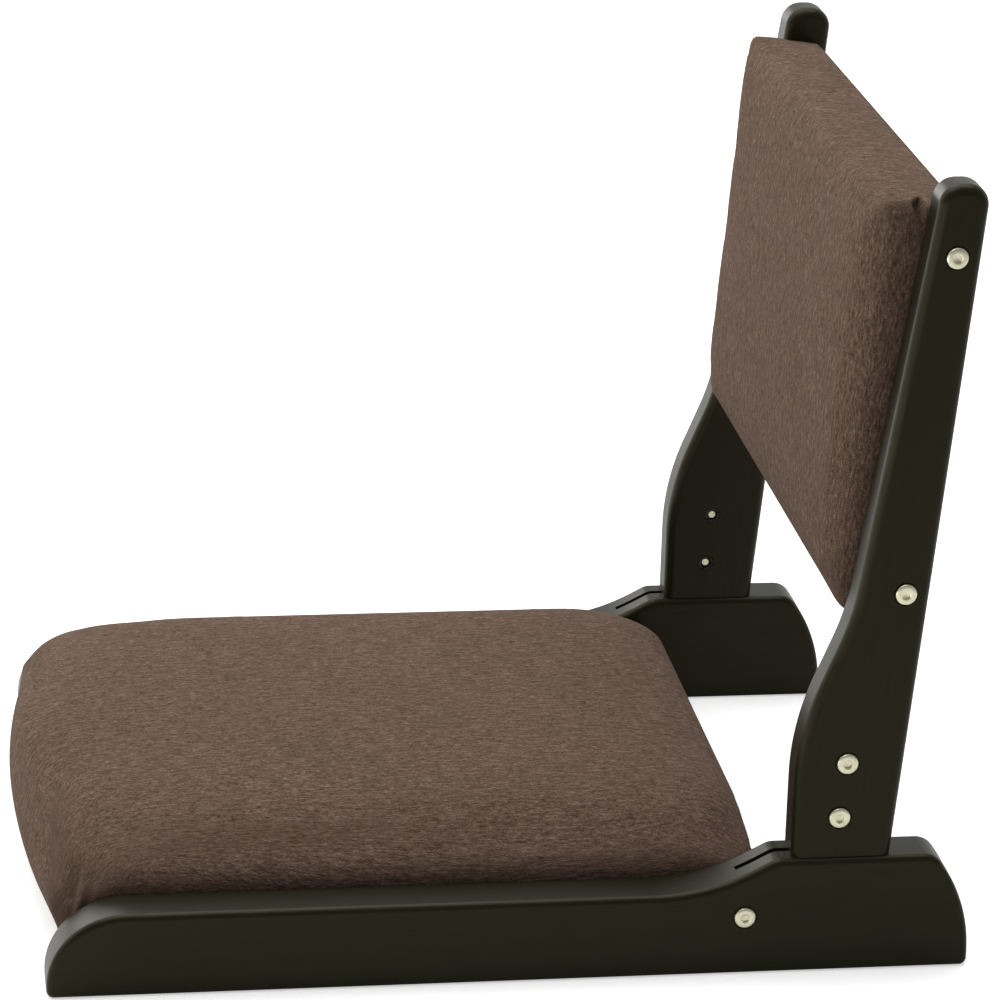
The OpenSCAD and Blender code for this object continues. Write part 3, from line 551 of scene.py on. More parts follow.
# Edges of the boards, and bores for bolts and nuts, in mm
RAIL_EDGE_R, UPRIGHT_EDGE_R = 3.8, 5.5
BORE_R, HEAD_SINK, RECESS_R, RECESS_EDGE, RECESS_MOUTH_R = 3.0, 0.9, 6.45, 0.35, 7.8
NUT_BORE_R, NUT_MOUTH, NUT_MOUTH_R, NUT_END, CUT = 4.82, 0.3, 6.1, 9.4, 1


def bolt_cutter(p, x_face, x_inner, nut):
    """Bore, head recess with a broken edge and, where there is one, the nut's bore."""
    sunk = x_face - HEAD_SINK
    end = [(sunk, BORE_R), (sunk, RECESS_R), (x_face - RECESS_EDGE, RECESS_R),
           (x_face + CUT, RECESS_MOUTH_R), (x_face + CUT, 0)]
    start = [(x_inner - CUT, 0), (x_inner - CUT, BORE_R)]
    if nut:
        start = [(x_inner - CUT, 0), (x_inner - CUT, NUT_MOUTH_R), (x_inner + NUT_MOUTH, NUT_BORE_R),
                 (x_inner + NUT_END, NUT_BORE_R), (x_inner + NUT_END, BORE_R)]
    return lathe("bore", start + end, p)


def finish_board(ob, key, body, *replaced):
    sharpen(ob, 30)
    weigh_normals(ob)
    dress(ob, key)
    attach(ob, body)
    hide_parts(*replaced)


def hull(points):
    """Convex hull of points in a plane, anticlockwise."""
    points = sorted(map(tuple, points))
    sides = []
    for run in (points, points[::-1]):
        line = []
        for p in run:
            while len(line) > 1 and ((line[-1][0] - line[-2][0]) * (p[1] - line[-2][1])
                                     <= (line[-1][1] - line[-2][1]) * (p[0] - line[-2][0])):
                line.pop()
            line.append(p)
        sides += line[:-1]
    return np.array(sides)


def slot_outline():
    """The rail's slot: its front wall lies along the hinge plate's neck when the back is folded."""
    neck = np.subtract(NECK, PIVOT) / np.linalg.norm(np.subtract(NECK, PIVOT))
    c, s = cos(SLOT_ANGLE), sin(SLOT_ANGLE)
    d = np.array([neck[0] * c - neck[1] * s, neck[0] * s + neck[1] * c])
    wall = np.array(PIVOT) + SLOT_ROOM * np.array([-d[1], d[0]])
    top, rear = RAIL_REAR_H + 9, BEND[0] + SLOT_ROOM
    rounds = [np.array(p) + SLOT_ROOM * np.array([cos(a), sin(a)])
              for p in (PIVOT, NECK) for a in np.linspace(0, 2 * pi, 48, endpoint=False)]
    return hull(rounds + [wall, (rear, BEND[1]), (rear, top), wall + d * (top - wall[1]) / d[1]])


def build_rail():
    ob = board("left_rail_wood", rail_outline(), MID_X, RAIL_X1 - RAIL_X0, RAIL_EDGE_R)
    tools = [prism("slot", slot_outline(), SLOT_X0, SLOT_X1), bolt_cutter(PIVOT, RAIL_X1, RAIL_X0, True)]
    start, end = RAIL_X0 - CUT, RAIL_X0 + DOWEL_L / 2
    hole = [(start, 0), (start, DOWEL_R), (end, DOWEL_R), (end, 0)]
    tools += [lathe("dowel_hole", hole, (y, DOWEL_Z), 32) for y in DOWEL_Y]
    cut(ob, tools)
    return ob


def build_upright():
    ob = board("left_upright_wood", upright_outline(), MID_X, UP_X1 - UP_X0, UPRIGHT_EDGE_R)
    corners = ((-TOE_R, POCKET_W1), (-TOE_R, POCKET_W0), (POCKET_UP, POCKET_W0), (POCKET_UP, POCKET_W1))
    pocket = rounded([on_upright(*p) for p in corners], [0, 0, PLATE_R, PLATE_R])
    below = [(100, 50), (260, 50), (260, RAIL_REAR_H), (100, RAIL_REAR_H)]
    tools = [prism("pocket", pocket, POCKET_X0, POCKET_X1), prism("foot", below, UP_X0 - 5, UP_X1 + 5)]
    tools += [bolt_cutter(on_upright(*p), UP_X1, UP_X0, True) for p in PLATE_BOLTS]
    tools += [bolt_cutter(on_upright(*p), UP_X1, UP_X0, False) for p in PAD_BOLTS]
    cut(ob, tools)
    return ob


for build, key, body in ((build_rail, "rail", "seat_frame"), (build_upright, "upright", "backrest")):
    left = build()
    right = mirrored(left, f"right_{key}_wood")
    finish_board(left, key, body, f"left_{key}")
    finish_board(right, key, body, f"right_{key}")


# Bolts and nuts

# A bolt's rows as steps along it and radii, in mm: tip, one turn of thread, head, hexagon, socket
TIP_ROWS = ((0, 0.6), (0, 2.1), (0.8, 2.9))
THREAD_ROWS = ((0.0, 2.98), (0.25, 2.98), (0.5, 2.72), (0.75, 2.98))
THREAD_START, THREAD_L, THREAD_PITCH = 1.1, 8.0, 1.0
HEAD_ROWS = ((-0.6, 2.98), (0, 2.98), (0, 5.55), (0.15, 5.78), (0.35, 5.85), (1.3, 5.85), (1.62, 5.76),
             (1.9, 5.52), (2.12, 5.1), (2.3, 4.4), (2.38, 3.6), (2.4, 3.0), (2.38, 2.8), (2.3, 2.66))
HEXAGON_ROWS = ((2.26, 2.5), (2.12, 2.3), (0.95, 2.3))
SOCKET_ROWS = ((0.9, 1.7), (0.62, 0.5))
ROUND = 48


def bolt(p, x_face, x_tip, turn):
    """Low round head with a hexagon socket, and a shank whose end shows its thread."""
    face = x_face - HEAD_SINK
    n = ROUND
    rows = []

    def circle(x, r):
        rows.append([(x, *polar(p, r, 2 * pi * i / n)) for i in range(n)])

    def hexagon(x, r):
        ring = []
        for i in range(n):
            a = 2 * pi * i / n
            k = cos(pi / 6) / cos((a % (pi / 3)) - pi / 6)
            ring.append((x, *polar(p, r * k, a + turn)))
        rows.append(ring)

    for dx, r in TIP_ROWS:
        circle(x_tip + dx, r)
    x = x_tip + THREAD_START
    while x < x_tip + min(THREAD_L, face - x_tip - 2):
        for dx, r in THREAD_ROWS:
            circle(x + dx, r)
        x += THREAD_PITCH
    for shape, profile in ((circle, HEAD_ROWS), (hexagon, HEXAGON_ROWS), (circle, SOCKET_ROWS)):
        for dx, r in profile:
            shape(face + dx, r)
    ob = new_mesh("bolt", [v for row in rows for v in row], capped(len(rows), n))
    dress(ob, "nickel")
    return ob


# How far a nut is sunk, and the depth, half angle and rows of its two slots
NUT_SINK, NUT_SLOT, NUT_SLOT_ANGLE, NUT_SLOT_ROWS = 0.4, 0.9, 0.2, (2, 3, 4)


def barrel_nut(p, x_face, turn):
    """Round threaded nut, flush in the wood, with two spanner slots across its end."""
    x0, x1 = x_face + NUT_SINK, x_face + NUT_END
    n = ROUND
    verts, faces = [], []
    rows = [(x1, 3.05), (x0 + 0.5, 3.05), (x0 + 0.05, 3.45), (x0, 3.6), (x0, 4.5), (x0 + 0.3, 4.78),
            (x1, 4.78)]
    for j, (x, r) in enumerate(rows):
        for i in range(n):
            a = 2 * pi * i / n
            off = (a - turn) % pi
            slotted = j in NUT_SLOT_ROWS and min(abs(off), pi - off) < NUT_SLOT_ANGLE
            verts.append((x + (NUT_SLOT if slotted else 0), *polar(p, r, a)))
    m = len(rows)
    for j in range(m):
        for i in range(n):
            a, b = j * n + i, j * n + (i + 1) % n
            c, d = ((j + 1) % m) * n + (i + 1) % n, ((j + 1) % m) * n + i
            faces.append((a, d, c, b))
    ob = new_mesh("nut", verts, faces)
    dress(ob, "black_steel")
    return ob


def fastener(name, parts, body, *replaced):
    left = join(f"left_{name}", parts)
    bm = bmesh.new()
    bm.from_mesh(left.data)
    bmesh.ops.recalc_face_normals(bm, faces=bm.faces)
    bm.to_mesh(left.data)
    bm.free()
    sharpen(left, 38)
    right = mirrored(left, f"right_{name}")
    for ob, side in ((left, "left"), (right, "right")):
        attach(ob, body)
        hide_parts(*[f"{side}_{r}" for r in replaced])


# Each bolt and nut is turned about its own axis by an angle in radians
fastener("hinge_bolt_metal", [bolt(PIVOT, RAIL_X1, RAIL_X0 + BOLT_END_IN, 0.3)], "seat_frame", "hinge_bolt")
fastener("plate_bolt_metal", [bolt(on_upright(*p), UP_X1, UP_X0 + BOLT_END_IN, t)
                              for p, t in zip(PLATE_BOLTS, (0.1, 0.7))], "backrest", "plate_bolts")
fastener("back_bolt_metal", [bolt(on_upright(*p), UP_X1, BACK_BOLT_TIP_X, t)
                             for p, t in zip(PAD_BOLTS, (0.5, 0.25))], "backrest", "back_bolts")
fastener("hinge_nut_steel", [barrel_nut(PIVOT, RAIL_X0, 0.8)], "seat_frame", "hinge_nut")
fastener("plate_nut_steel", [barrel_nut(on_upright(*p), UP_X0, t)
                             for p, t in zip(PLATE_BOLTS, (1.0, 0.6))], "backrest", "plate_nuts")


# Padding

# Sections of the two pads from the underside up: heights, insets of the sides, front (or bottom)
# and rear (or top), and additions to the corner radii, all as shares of the padding's height
SEAT_SECTION = {
    "rise": (-0.25, 0, 0.2, 0.32, 0.46, 0.58, 0.69, 0.795, 0.888, 0.952, 0.988),
    "side": (0.045, 0.02, 0.013, 0.008, 0.019, 0.088, 0.23, 0.39, 0.59, 0.97, 1.73, 2.75),
    "low": (0.1, 0.05, 0, 0.03, 0.056, 0.072, 0.09, 0.17, 0.36, 0.73, 1.58, 2.74),
    "high": (0.09, 0.07, 0.04, 0.013, 0.01, 0.036, 0.06, 0.16, 0.37, 0.86, 1.68, 2.82),
    "low_r": (0, 0, 0.11, 0.37, 0.59, 0.72, 0.94, 1.33, 1.63, 1.81, 1.46, 0.55),
    "high_r": (0, 0, 0, 0.09, 0.33, 0.67, 0.85, 0.81, 0.76, 0.81, 0.85, 0.55)}
BACK_SECTION = {
    "rise": (-0.62, -0.25, 0, 0.26, 0.46, 0.63, 0.77, 0.87, 0.935, 0.98),
    "side": (0.053, 0.019, 0.011, 0.01, 0.012, 0.041, 0.126, 0.35, 0.65, 1.23, 2.48),
    "low": (0.105, 0.07, 0.018, 0.009, 0.008, 0.039, 0.139, 0.355, 0.77, 1.45, 2.64),
    "high": (0.09, 0.06, 0.022, 0.011, 0.014, 0.039, 0.067, 0.234, 0.62, 1.31, 2.53),
    "low_r": (0.06, 0.05, 0, 0, 0.02, 0.07, 0.22, 0.46, 0.66, 0.78, 0.85),
    "high_r": (0.08, 0.07, 0.05, 0.03, 0.02, 0, 0, 0, 0.21, 0.46, 0.65)}
SEAT_CORNER_R, PAD_CORNER_R = 13.5, 4.5


def section_rows(section, bottom, base, rise, corner_r):
    """Rows of height, side inset, low inset, high inset, low radius and high radius, in mm."""
    heights = [bottom] + [base + s * rise for s in section["rise"]]
    insets = [np.array(section[key]) * rise for key in ("side", "low", "high")]
    radii = [corner_r + np.array(section[key]) * rise for key in ("low_r", "high_r")]
    return np.column_stack([heights, *insets, *radii])


def spline(rows, per):
    """Rows of numbers with a smooth curve drawn through them."""
    out = []
    for i in range(len(rows) - 1):
        a, b, c, d = rows[max(i - 1, 0)], rows[i], rows[i + 1], rows[min(i + 2, len(rows) - 1)]
        for t in (k / per for k in range(per)):
            out.append(0.5 * (2 * b + (c - a) * t + (2 * a - 5 * b + 4 * c - d) * t * t
                              + (3 * b - a - 3 * c + d) * t ** 3))
    return np.array(out + [rows[-1]])


def ring(hw, y0, y1, r0, r1, bow, ends=72, sides=72, arc=12):
    """Anticlockwise outline with corners r0 at y0 and r1 at y1, bowed out at y0."""
    c0, c1, f = hw - r0, hw - r1, y0 + bow
    turn = np.radians(90 * np.arange(1, arc + 1) / arc)
    s = np.linspace(-1, 1, ends + 1)
    side = (y1 - f - r0 - r1) * np.arange(1, sides + 1) / sides
    parts = [np.c_[s * c0, f - bow * (1 - s * s)],
             np.c_[c0 + r0 * np.sin(turn), f + r0 - r0 * np.cos(turn)],
             np.c_[np.full(sides, hw), f + r0 + side],
             np.c_[c1 + r1 * np.cos(turn), y1 - r1 + r1 * np.sin(turn)],
             np.c_[c1 - 2 * c1 * np.arange(1, ends + 1) / ends, np.full(ends, y1)],
             np.c_[-c1 - r1 * np.sin(turn), y1 - r1 + r1 * np.cos(turn)],
             np.c_[np.full(sides, -hw), y1 - r1 - side],
             np.c_[-c0 - r0 * np.cos(turn[:-1]), f + r0 - r0 * np.sin(turn[:-1])]]
    return np.concatenate(parts)


def seat_ring(row):
    return ring(SEAT_HW - row[1], SEAT_Y0 + row[2], SEAT_Y1 - row[3], row[4], row[5], SEAT_BOW)


def back_ring(row):
    return ring(PAD_HW - row[1], row[2], PAD_H - row[3], row[4], row[5], 0)


def swollen(v):
    """Deepens the back pad's padding toward its top."""
    above = np.maximum(0, v[:, 2] - PAD_FOAM_W) / PAD_RISE
    return np.c_[v[:, :2], v[:, 2] + above * PAD_SWELL * (v[:, 1] / PAD_H - 0.5)]


def pad_form(rows, ring_of, shoulder, middle, peak, per=5, crown=30):
    """Vertices, faces and cloth coordinates (all in mm) of a pad's smooth outer form.

    Above the shoulder row the cloth's coordinates are those of the plan, and below it they
    run on outward from the shoulder by the length of cloth that hangs there.
    """
    rows = spline(rows, per)
    outlines = np.array([ring_of(r) for r in rows])
    m, n = outlines.shape[:2]
    points = np.dstack([outlines, np.repeat(rows[:, 0][:, None], n, 1)])
    at = shoulder * per
    edge = outlines[at]
    along = np.roll(edge, -1, 0) - np.roll(edge, 1, 0)
    out = np.c_[along[:, 1], -along[:, 0]] / np.linalg.norm(along, axis=1)[:, None]
    step = np.linalg.norm(np.diff(points[:at + 1], axis=0), axis=2)
    length = np.r_[np.cumsum(step[::-1], axis=0)[::-1], np.zeros((1, n))]
    cloth = np.concatenate([edge[None] + out[None] * length[:, :, None], outlines[at + 1:]])
    centre = np.array([0, middle])
    under = np.linspace(0, 1, 12, endpoint=False)[1:]
    shares = np.linspace(1, 0, crown, endpoint=False)[1:]
    low, low_cloth = [], []
    foot = outlines[0] - centre
    for s in under:
        low.append(np.c_[centre + foot * s, np.full(n, rows[0, 0])])
        low_cloth.append(cloth[0] + out * np.linalg.norm(foot, axis=1)[:, None] * (1 - s))
    top = outlines[-1] - centre
    high = [np.c_[centre + top * s, np.full(n, peak - (peak - rows[-1, 0]) * s * s)] for s in shares]
    verts = np.concatenate(low + list(points) + high)
    uv = np.concatenate(low_cloth + list(cloth) + [h[:, :2] for h in high])
    faces = fanned(len(verts) // n, n)
    verts = np.r_[verts, [[0, middle, rows[0, 0]], [0, middle, peak]]]
    return verts, faces, np.r_[uv, [uv[:n].mean(0)], [centre]]


def on_pad(v):
    """From the back pad's own frame (across, up, forward) to the chair's, in mm."""
    oy, oz = on_upright(PAD_UP, PAD_IN)
    s, c = sin(LEAN), cos(LEAN)
    return np.c_[v[:, 0], oy + v[:, 1] * s - v[:, 2] * c, oz + v[:, 1] * c + v[:, 2] * s]


def coords_of(me, key="co"):
    out = np.empty(len(me.vertices) * 3, "f")
    me.vertices.foreach_get(key, out)
    return out.reshape(-1, 3).astype(float)


def put_coords(me, co):
    me.vertices.foreach_set("co", co.astype("f").ravel())
    me.update()


class Form:
    """The smooth outer form of a pad, which its cloth is measured against."""

    def __init__(self, verts, faces, uv):
        self.verts = verts * MM
        self.faces = faces
        self.uv = uv * MM
        self.tree = BVHTree.FromPolygons([Vector(v) for v in self.verts], faces)

    def nearest(self, p):
        return self.tree.find_nearest(Vector(p))

    def cloth_at(self, p):
        place, _, index, _ = self.nearest(p)
        face = self.faces[index]
        weights = poly_3d_calc([Vector(self.verts[i]) for i in face], place)
        return sum(self.uv[i] * w for i, w in zip(face, weights))


def start_pad(name, form, shrink, voxel):
    """The form drawn in a little and remeshed evenly, ready to be swelled."""
    ob = new_mesh(name, form.verts / MM, form.faces)
    put_coords(ob.data, coords_of(ob.data) - coords_of(ob.data, "normal") * shrink)
    mod = ob.modifiers.new("remesh", "REMESH")
    mod.mode, mod.voxel_size = "VOXEL", voxel
    apply_modifiers(ob)
    ob.data.shade_smooth()
    return ob


def swell(pads, held, frames=20, pressure=4.0, cap=0.006):
    """Inflates the covers of the pads as cloth and leaves the swelled shape as plain mesh."""
    before = [coords_of(ob.data) for ob in pads]
    scene = bpy.context.scene
    mods = []
    for ob, hold in zip(pads, held):
        group = ob.vertex_groups.new(name="held")
        group.add([int(i) for i in np.nonzero(hold)[0]], 1.0, "REPLACE")
        mod = ob.modifiers.new("cover", "CLOTH")
        s = mod.settings
        s.quality = 6
        s.mass = 0.25
        s.tension_stiffness = s.compression_stiffness = 14
        s.shear_stiffness = 6
        s.bending_stiffness = 0.4
        s.use_pressure = True
        s.uniform_pressure_force = pressure
        s.shrink_min = -0.012
        s.effector_weights.gravity = 0
        s.vertex_group_mass = "held"
        mod.collision_settings.use_collision = False
        mod.point_cache.frame_start, mod.point_cache.frame_end = 1, frames
        mods.append(mod)
    for f in range(1, frames + 1):
        scene.frame_set(f)
    dg = bpy.context.evaluated_depsgraph_get()
    after = []
    for ob in pads:
        ev = ob.evaluated_get(dg)
        after.append(coords_of(ev.to_mesh()))
        ev.to_mesh_clear()
    for ob, a, b in zip(pads, before, after):
        ob.modifiers.clear()
        ob.vertex_groups.clear()
        move = b - a
        far = np.linalg.norm(move, axis=1)
        move *= np.minimum(1, cap / np.maximum(far, 1e-9))[:, None]
        put_coords(ob.data, a + move)
    scene.frame_set(1)


def settle(ob, form, out, depth):
    """Keeps the cover on the form: no farther out than its skin, no deeper than a soft hollow."""
    co = coords_of(ob.data)
    for i, p in enumerate(co):
        place, normal, _, _ = form.nearest(p)
        gap = (Vector(p) - place).dot(normal)
        if gap > out:
            co[i] = place + normal * out
        elif gap < -depth:
            co[i] = place - normal * depth
    put_coords(ob.data, co)


def refine(ob):
    mod = ob.modifiers.new("fine", "SUBSURF")
    mod.levels = mod.render_levels = 1
    apply_modifiers(ob)
    ob.data.shade_smooth()


def lay_cloth(me, uv):
    """Cloth coordinates of every vertex, in metres, as a UV map."""
    loops = np.empty(len(me.loops), "i")
    me.loops.foreach_get("vertex_index", loops)
    me.uv_layers.new(name="weave").data.foreach_set("uv", uv[loops].astype("f").ravel())


def refine_near(ob, spots, radius):
    """Finer mesh round a few spots (mm), for folds that are narrower than the cover's faces."""
    spots = [Vector(p) * MM for p in spots]
    bm = bmesh.new()
    bm.from_mesh(ob.data)
    near = {v for v in bm.verts if any((v.co - p).length < radius * MM for p in spots)}
    edges = [e for e in bm.edges if e.verts[0] in near or e.verts[1] in near]
    bmesh.ops.subdivide_edges(bm, edges=edges, cuts=1, use_grid_fill=True)
    bm.to_mesh(ob.data)
    bm.free()
    ob.data.shade_smooth()


def ease(x):
    x = np.clip(x, 0, 1)
    return x * x * (3 - 2 * x)


def rising(x, start, length):
    """Smoothly from 0 at start to 1 one length on; a negative length runs the other way."""
    return ease((x - start) / length)


def bell(x, middle, width):
    return np.exp(-((x - middle) / width) ** 2)


# The seat cover's front corners, in mm: the pleat's place and slope, the middle of the rounded
# corner, how deep the cloth is drawn in, and how far it is moved elsewhere
PLEAT_Y, PLEAT_Z, PLEAT_SLOPE = -243, 20, 0.3
CORNER_X, CORNER_Y = 158, -214
TUCK, TUCK_AT_BOARD, BOARD_Z0, BOARD_Z1 = 6.0, 2.0, 22, 40
RIDGE, SWELL, FULL, RAISED, GATHERED = 0.9, 1.3, 2.3, 1.2, 6.5


def tuck_corners(co):
    """The seat cover's front corners: the front's cloth is drawn round and tucked under in a pleat."""
    x, y, z = co[:, 0].copy(), co[:, 1], co[:, 2]
    across = np.abs(x)
    d = y - (PLEAT_Y + PLEAT_SLOPE * (z - PLEAT_Z))
    wall = rising(across, 150, 24) * rising(z, 66, -18)
    crease = bell(d, 3, 3.6) + 0.25 * bell(d, 14, 3)
    ridge = bell(d, 10.2, 1.5) * rising(z, 54, -8)
    # Inward across the rounded corner, and no deeper than the board allows
    nx, ny = np.maximum(across - CORNER_X, 1e-6), np.minimum(y - CORNER_Y, 0)
    length = np.hypot(nx, ny)
    most = np.where((z > BOARD_Z0) & (z < BOARD_Z1), TUCK_AT_BOARD, TUCK)
    drawn = wall * (np.minimum(TUCK * crease, most) - RIDGE * ridge)
    # Cloth gathered below the corner, and fullness of the far corner
    gathered = rising(across, 150, 25) * rising(y, -224, -12) * rising(z, 37, -11)
    full = rising(x, -120, -45) * rising(z, 66, -26) * rising(z, 22, 22) * rising(y, -200, -30)
    raised = rising(x, -110, -45) * rising(z, 58, 12) * rising(y, -170, -35)
    co[:, 0] -= np.sign(x) * drawn * nx / length
    co[:, 1] -= drawn * ny / length + SWELL * wall * bell(d, -7, 5.5) + FULL * full
    co[:, 2] += RAISED * raised - GATHERED * gathered


# The back cover's corners in the pad's own frame, in mm: the ears, the rounded corner, the folded
# edge above the hollow and the ends of the wooden frame
EAR_X, EAR_OUT, EAR_UP, EAR_FORWARD, LOW_OUT, LOW_DOWN, TOP_SINK = 184.0, 2.6, 1.6, 1.8, 1.6, 3.4, 1.6
ROUND_X, ROUND_R, ROUND_W = 173.0, 12, 27
FOLD_X, FOLD_UP, FOLD_NX, FOLD_NUP, FOLD_W, LIPS = 184.2, 0.5, 0.54, 0.84, 23.6, 9
HOLLOW, HOLLOW_X, HOLLOW_UP = 4.8, 0.6, 0.8
FRAME_X, FRAME_TOP = 182.8, 2.3


def peak_corners(co):
    """The back cover's ears and, at its top, the gap below the folded-over cloth."""
    side = np.sign(co[:, 0])
    x, up, w = np.abs(co[:, 0]), co[:, 1], co[:, 2]

    def about(up0, w0, r_up, r_w, r_x=11.0):
        return np.exp(-((x - EAR_X) / r_x) ** 2 - ((up - up0) / r_up) ** 2 - ((w - w0) / r_w) ** 2)

    near = co[:, 0] > 0
    ear = about(PAD_H, 46, 9, 11) * ~near
    low_ear = about(0, 37, 10, 14)
    # The top corner that has no ear is drawn round
    dx, du = np.maximum(0, x - ROUND_X), np.maximum(0, up - (PAD_H - ROUND_R))
    reach = np.maximum(np.hypot(dx, du), 1e-6)
    rounding = (1 - np.minimum(1, ROUND_R / reach)) * rising(w, ROUND_W, 6)
    drawn = np.where(near & (dx > 0) & (du > 0), rounding, 0)
    new_x = x - dx * drawn + EAR_OUT * ear * (w > 26) + LOW_OUT * low_ear
    new_up = up - du * drawn + EAR_UP * ear - LOW_DOWN * low_ear - TOP_SINK * about(PAD_H, 16, 9, 8, 16.0)
    # Behind a point of the near corner the top's cloth is folded over a hollow, whose two lips draw apart
    apart = np.clip((33.6 - w) / 8, 0, 1.1)
    beyond = (new_x - FOLD_X) * FOLD_NX + (new_up - (PAD_H - FOLD_UP - LIPS * apart)) * FOLD_NUP
    deep = near * rising(w, FOLD_W, 1.0) * ease(apart / 0.2) * ease((beyond + 0.4) / 1.4)
    sink = (np.maximum(0, beyond) + HOLLOW) * deep
    new_x -= HOLLOW_X * sink
    new_up -= HOLLOW_UP * sink
    # Nothing goes into the wooden frame
    framed = (w > 1) & (w < PAD_FOAM_W + 1)
    co[:, 0] = side * np.where(framed, np.maximum(new_x, np.minimum(x, FRAME_X)), new_x)
    co[:, 1] = np.where(framed, np.maximum(new_up, np.minimum(up, PAD_H - FRAME_TOP)), new_up)
    co[:, 2] = w + EAR_FORWARD * ear


def off_pad(v):
    """From the chair's frame to the back pad's own (across, up, forward), in mm."""
    oy, oz = on_upright(PAD_UP, PAD_IN)
    s, c = sin(LEAN), cos(LEAN)
    dy, dz = v[:, 1] - oy, v[:, 2] - oz
    return np.c_[v[:, 0], dy * s + dz * c, dz * s - dy * c]


seat_rows = section_rows(SEAT_SECTION, SEAT_BOTTOM, SEAT_FOAM_H, SEAT_RISE, SEAT_CORNER_R)
back_rows = section_rows(BACK_SECTION, PANEL_T, PAD_FOAM_W, PAD_RISE, PAD_CORNER_R)
seat_verts, seat_faces, seat_uv = pad_form(seat_rows, seat_ring, 8, (SEAT_Y0 + SEAT_Y1) / 2,
                                           SEAT_FOAM_H + SEAT_RISE)
seat_form = Form(seat_verts, seat_faces, seat_uv * (1, -1))
back_verts, back_faces, back_uv = pad_form(back_rows, back_ring, 7, PAD_H / 2, PAD_T)
back_form = Form(on_pad(swollen(back_verts)), back_faces, back_uv)

seat_pad = start_pad("seat_pad", seat_form, 0.0012, 0.0045)
back_pad = start_pad("back_pad", back_form, 0.0010, 0.004)
seat_co, back_co = coords_of(seat_pad.data), coords_of(back_pad.data)
plane_y, plane_z = on_upright(PAD_UP, PAD_IN)
forward = ((plane_y * MM - back_co[:, 1]) * cos(LEAN)
           + (back_co[:, 2] - plane_z * MM) * sin(LEAN))
swell([seat_pad, back_pad], [seat_co[:, 2] < 0.0285, forward < 0.0065])
SEAT_TUCKS = [(x, y, z) for x in (-172, 172) for y, z in ((-236, 28), (-232, 42), (-227, 56))]
BACK_PEAKS = on_pad(np.array([(x, up, w) for x in (-181.0, 181.0)
                              for up, w in ((222, 20), (225, 29), (224, 42), (4, 37))]))
for ob, form, spots in ((seat_pad, seat_form, SEAT_TUCKS), (back_pad, back_form, BACK_PEAKS)):
    settle(ob, form, 0.0001, 0.0007)
    refine(ob)
    refine_near(ob, spots, 15)
    settle(ob, form, 0.00015, 0.0005)
    lay_cloth(ob.data, np.array([form.cloth_at(v.co) for v in ob.data.vertices]))
seat_co = coords_of(seat_pad.data) / MM
tuck_corners(seat_co)
put_coords(seat_pad.data, seat_co * MM)
back_co = off_pad(coords_of(back_pad.data) / MM)
peak_corners(back_co)
put_coords(back_pad.data, on_pad(back_co) * MM)

for ob, body, stands_for, fill in ((seat_pad, "seat_frame", ("seat_cover", "seat_foam"), 0.85),
                                   (back_pad, "backrest", ("back_cover", "back_foam"), 0.9)):
    dress(ob, "cloth")
    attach(ob, body)
    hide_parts(*stands_for)


def leaf(name, ring_of, centre, rows, place):
    """A thin closed piece from rows of inset, height and crown round its edge; its cloth lies in its plan."""
    outlines = [ring_of(r[0]) for r in rows]
    n, shares = len(outlines[0]), np.linspace(0, 1, 16, endpoint=False)[1:]
    centre = np.array(centre)
    low, crown, high = rows[0][1], rows[0][2], rows[-1][1]
    foot, top = outlines[0] - centre, outlines[-1] - centre
    parts = [np.c_[centre + foot * s, np.full(n, low - crown * (1 - s * s))] for s in shares]
    parts += [np.c_[o, np.full(n, r[1])] for o, r in zip(outlines, rows)]
    parts += [np.c_[centre + top * s, np.full(n, high)] for s in shares[::-1]]
    verts = np.r_[np.concatenate(parts), [[*centre, low - crown], [*centre, high]]]
    ob = new_mesh(name, place(verts), fanned(len(parts), n))
    lay_cloth(ob.data, verts[:, :2] * MM)
    return ob


def panel_ring(d):
    inset = PANEL_INSET + d
    return ring(PAD_HW - PANEL_INSET - d, inset, PAD_H - PANEL_INSET - d, PANEL_R, PANEL_R, 0, 48, 32, 8)


PANEL_ROWS = [(2.6, 0.35, 0.3), (1.2, 0.5, 0), (0.35, 0.85, 0), (0, 1.3, 0), (0.3, 1.8, 0), (0.9, PANEL_T, 0)]
panel = leaf("rear_panel_cloth", panel_ring, (0, PAD_H / 2), PANEL_ROWS, on_pad)
dress(panel, "cloth")
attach(panel, "backrest")
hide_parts("back_rear_panel")


def sagged(v):
    """The lining sags a little between the two bars."""
    t = np.clip((v[:, 1] - SAG_Y) / SAG_L, 0, 1)
    return np.c_[v[:, :2], v[:, 2] - SAG * t * (1 - t) * np.maximum(0, 1 - (v[:, 0] / SAG_HW) ** 2)]


def lining_ring(d):
    return ring(LINING_HW - d, LINING_Y0 + d, LINING_Y1 - d, LINING_R, LINING_R, SEAT_BOW, 40, 40, 6)


def screw_hole(x, y):
    circle = [polar((x, y), HOLE_R, pi * i / 12) for i in range(24)]
    return new_mesh("hole", [(*p, z) for z in (20, 30) for p in circle], capped(2, 24), False)


LINING_HW, LINING_Y0, LINING_Y1, LINING_R = 167.5, -238.8, 127.8, 13.5
SAG, SAG_Y, SAG_L, SAG_HW, HOLE_R = 2.4, -178, 248, 160, 2
LINING_ROWS = [(inset, LINING_Z + rise, 0)
               for inset, rise in ((0.2, 0.06), (0, 0.16), (0, 0.42), (0.2, 0.54))]
lining = leaf("lining_sheet", lining_ring, (0, (LINING_Y0 + LINING_Y1) / 2), LINING_ROWS, sagged)
cut(lining, [screw_hole(x, y) for x in (-120, 0, 120) for y in (-198, 90)])
dress(lining, "lining")
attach(lining, "seat_frame")
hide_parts("seat_lining")


# Camera, light and floor

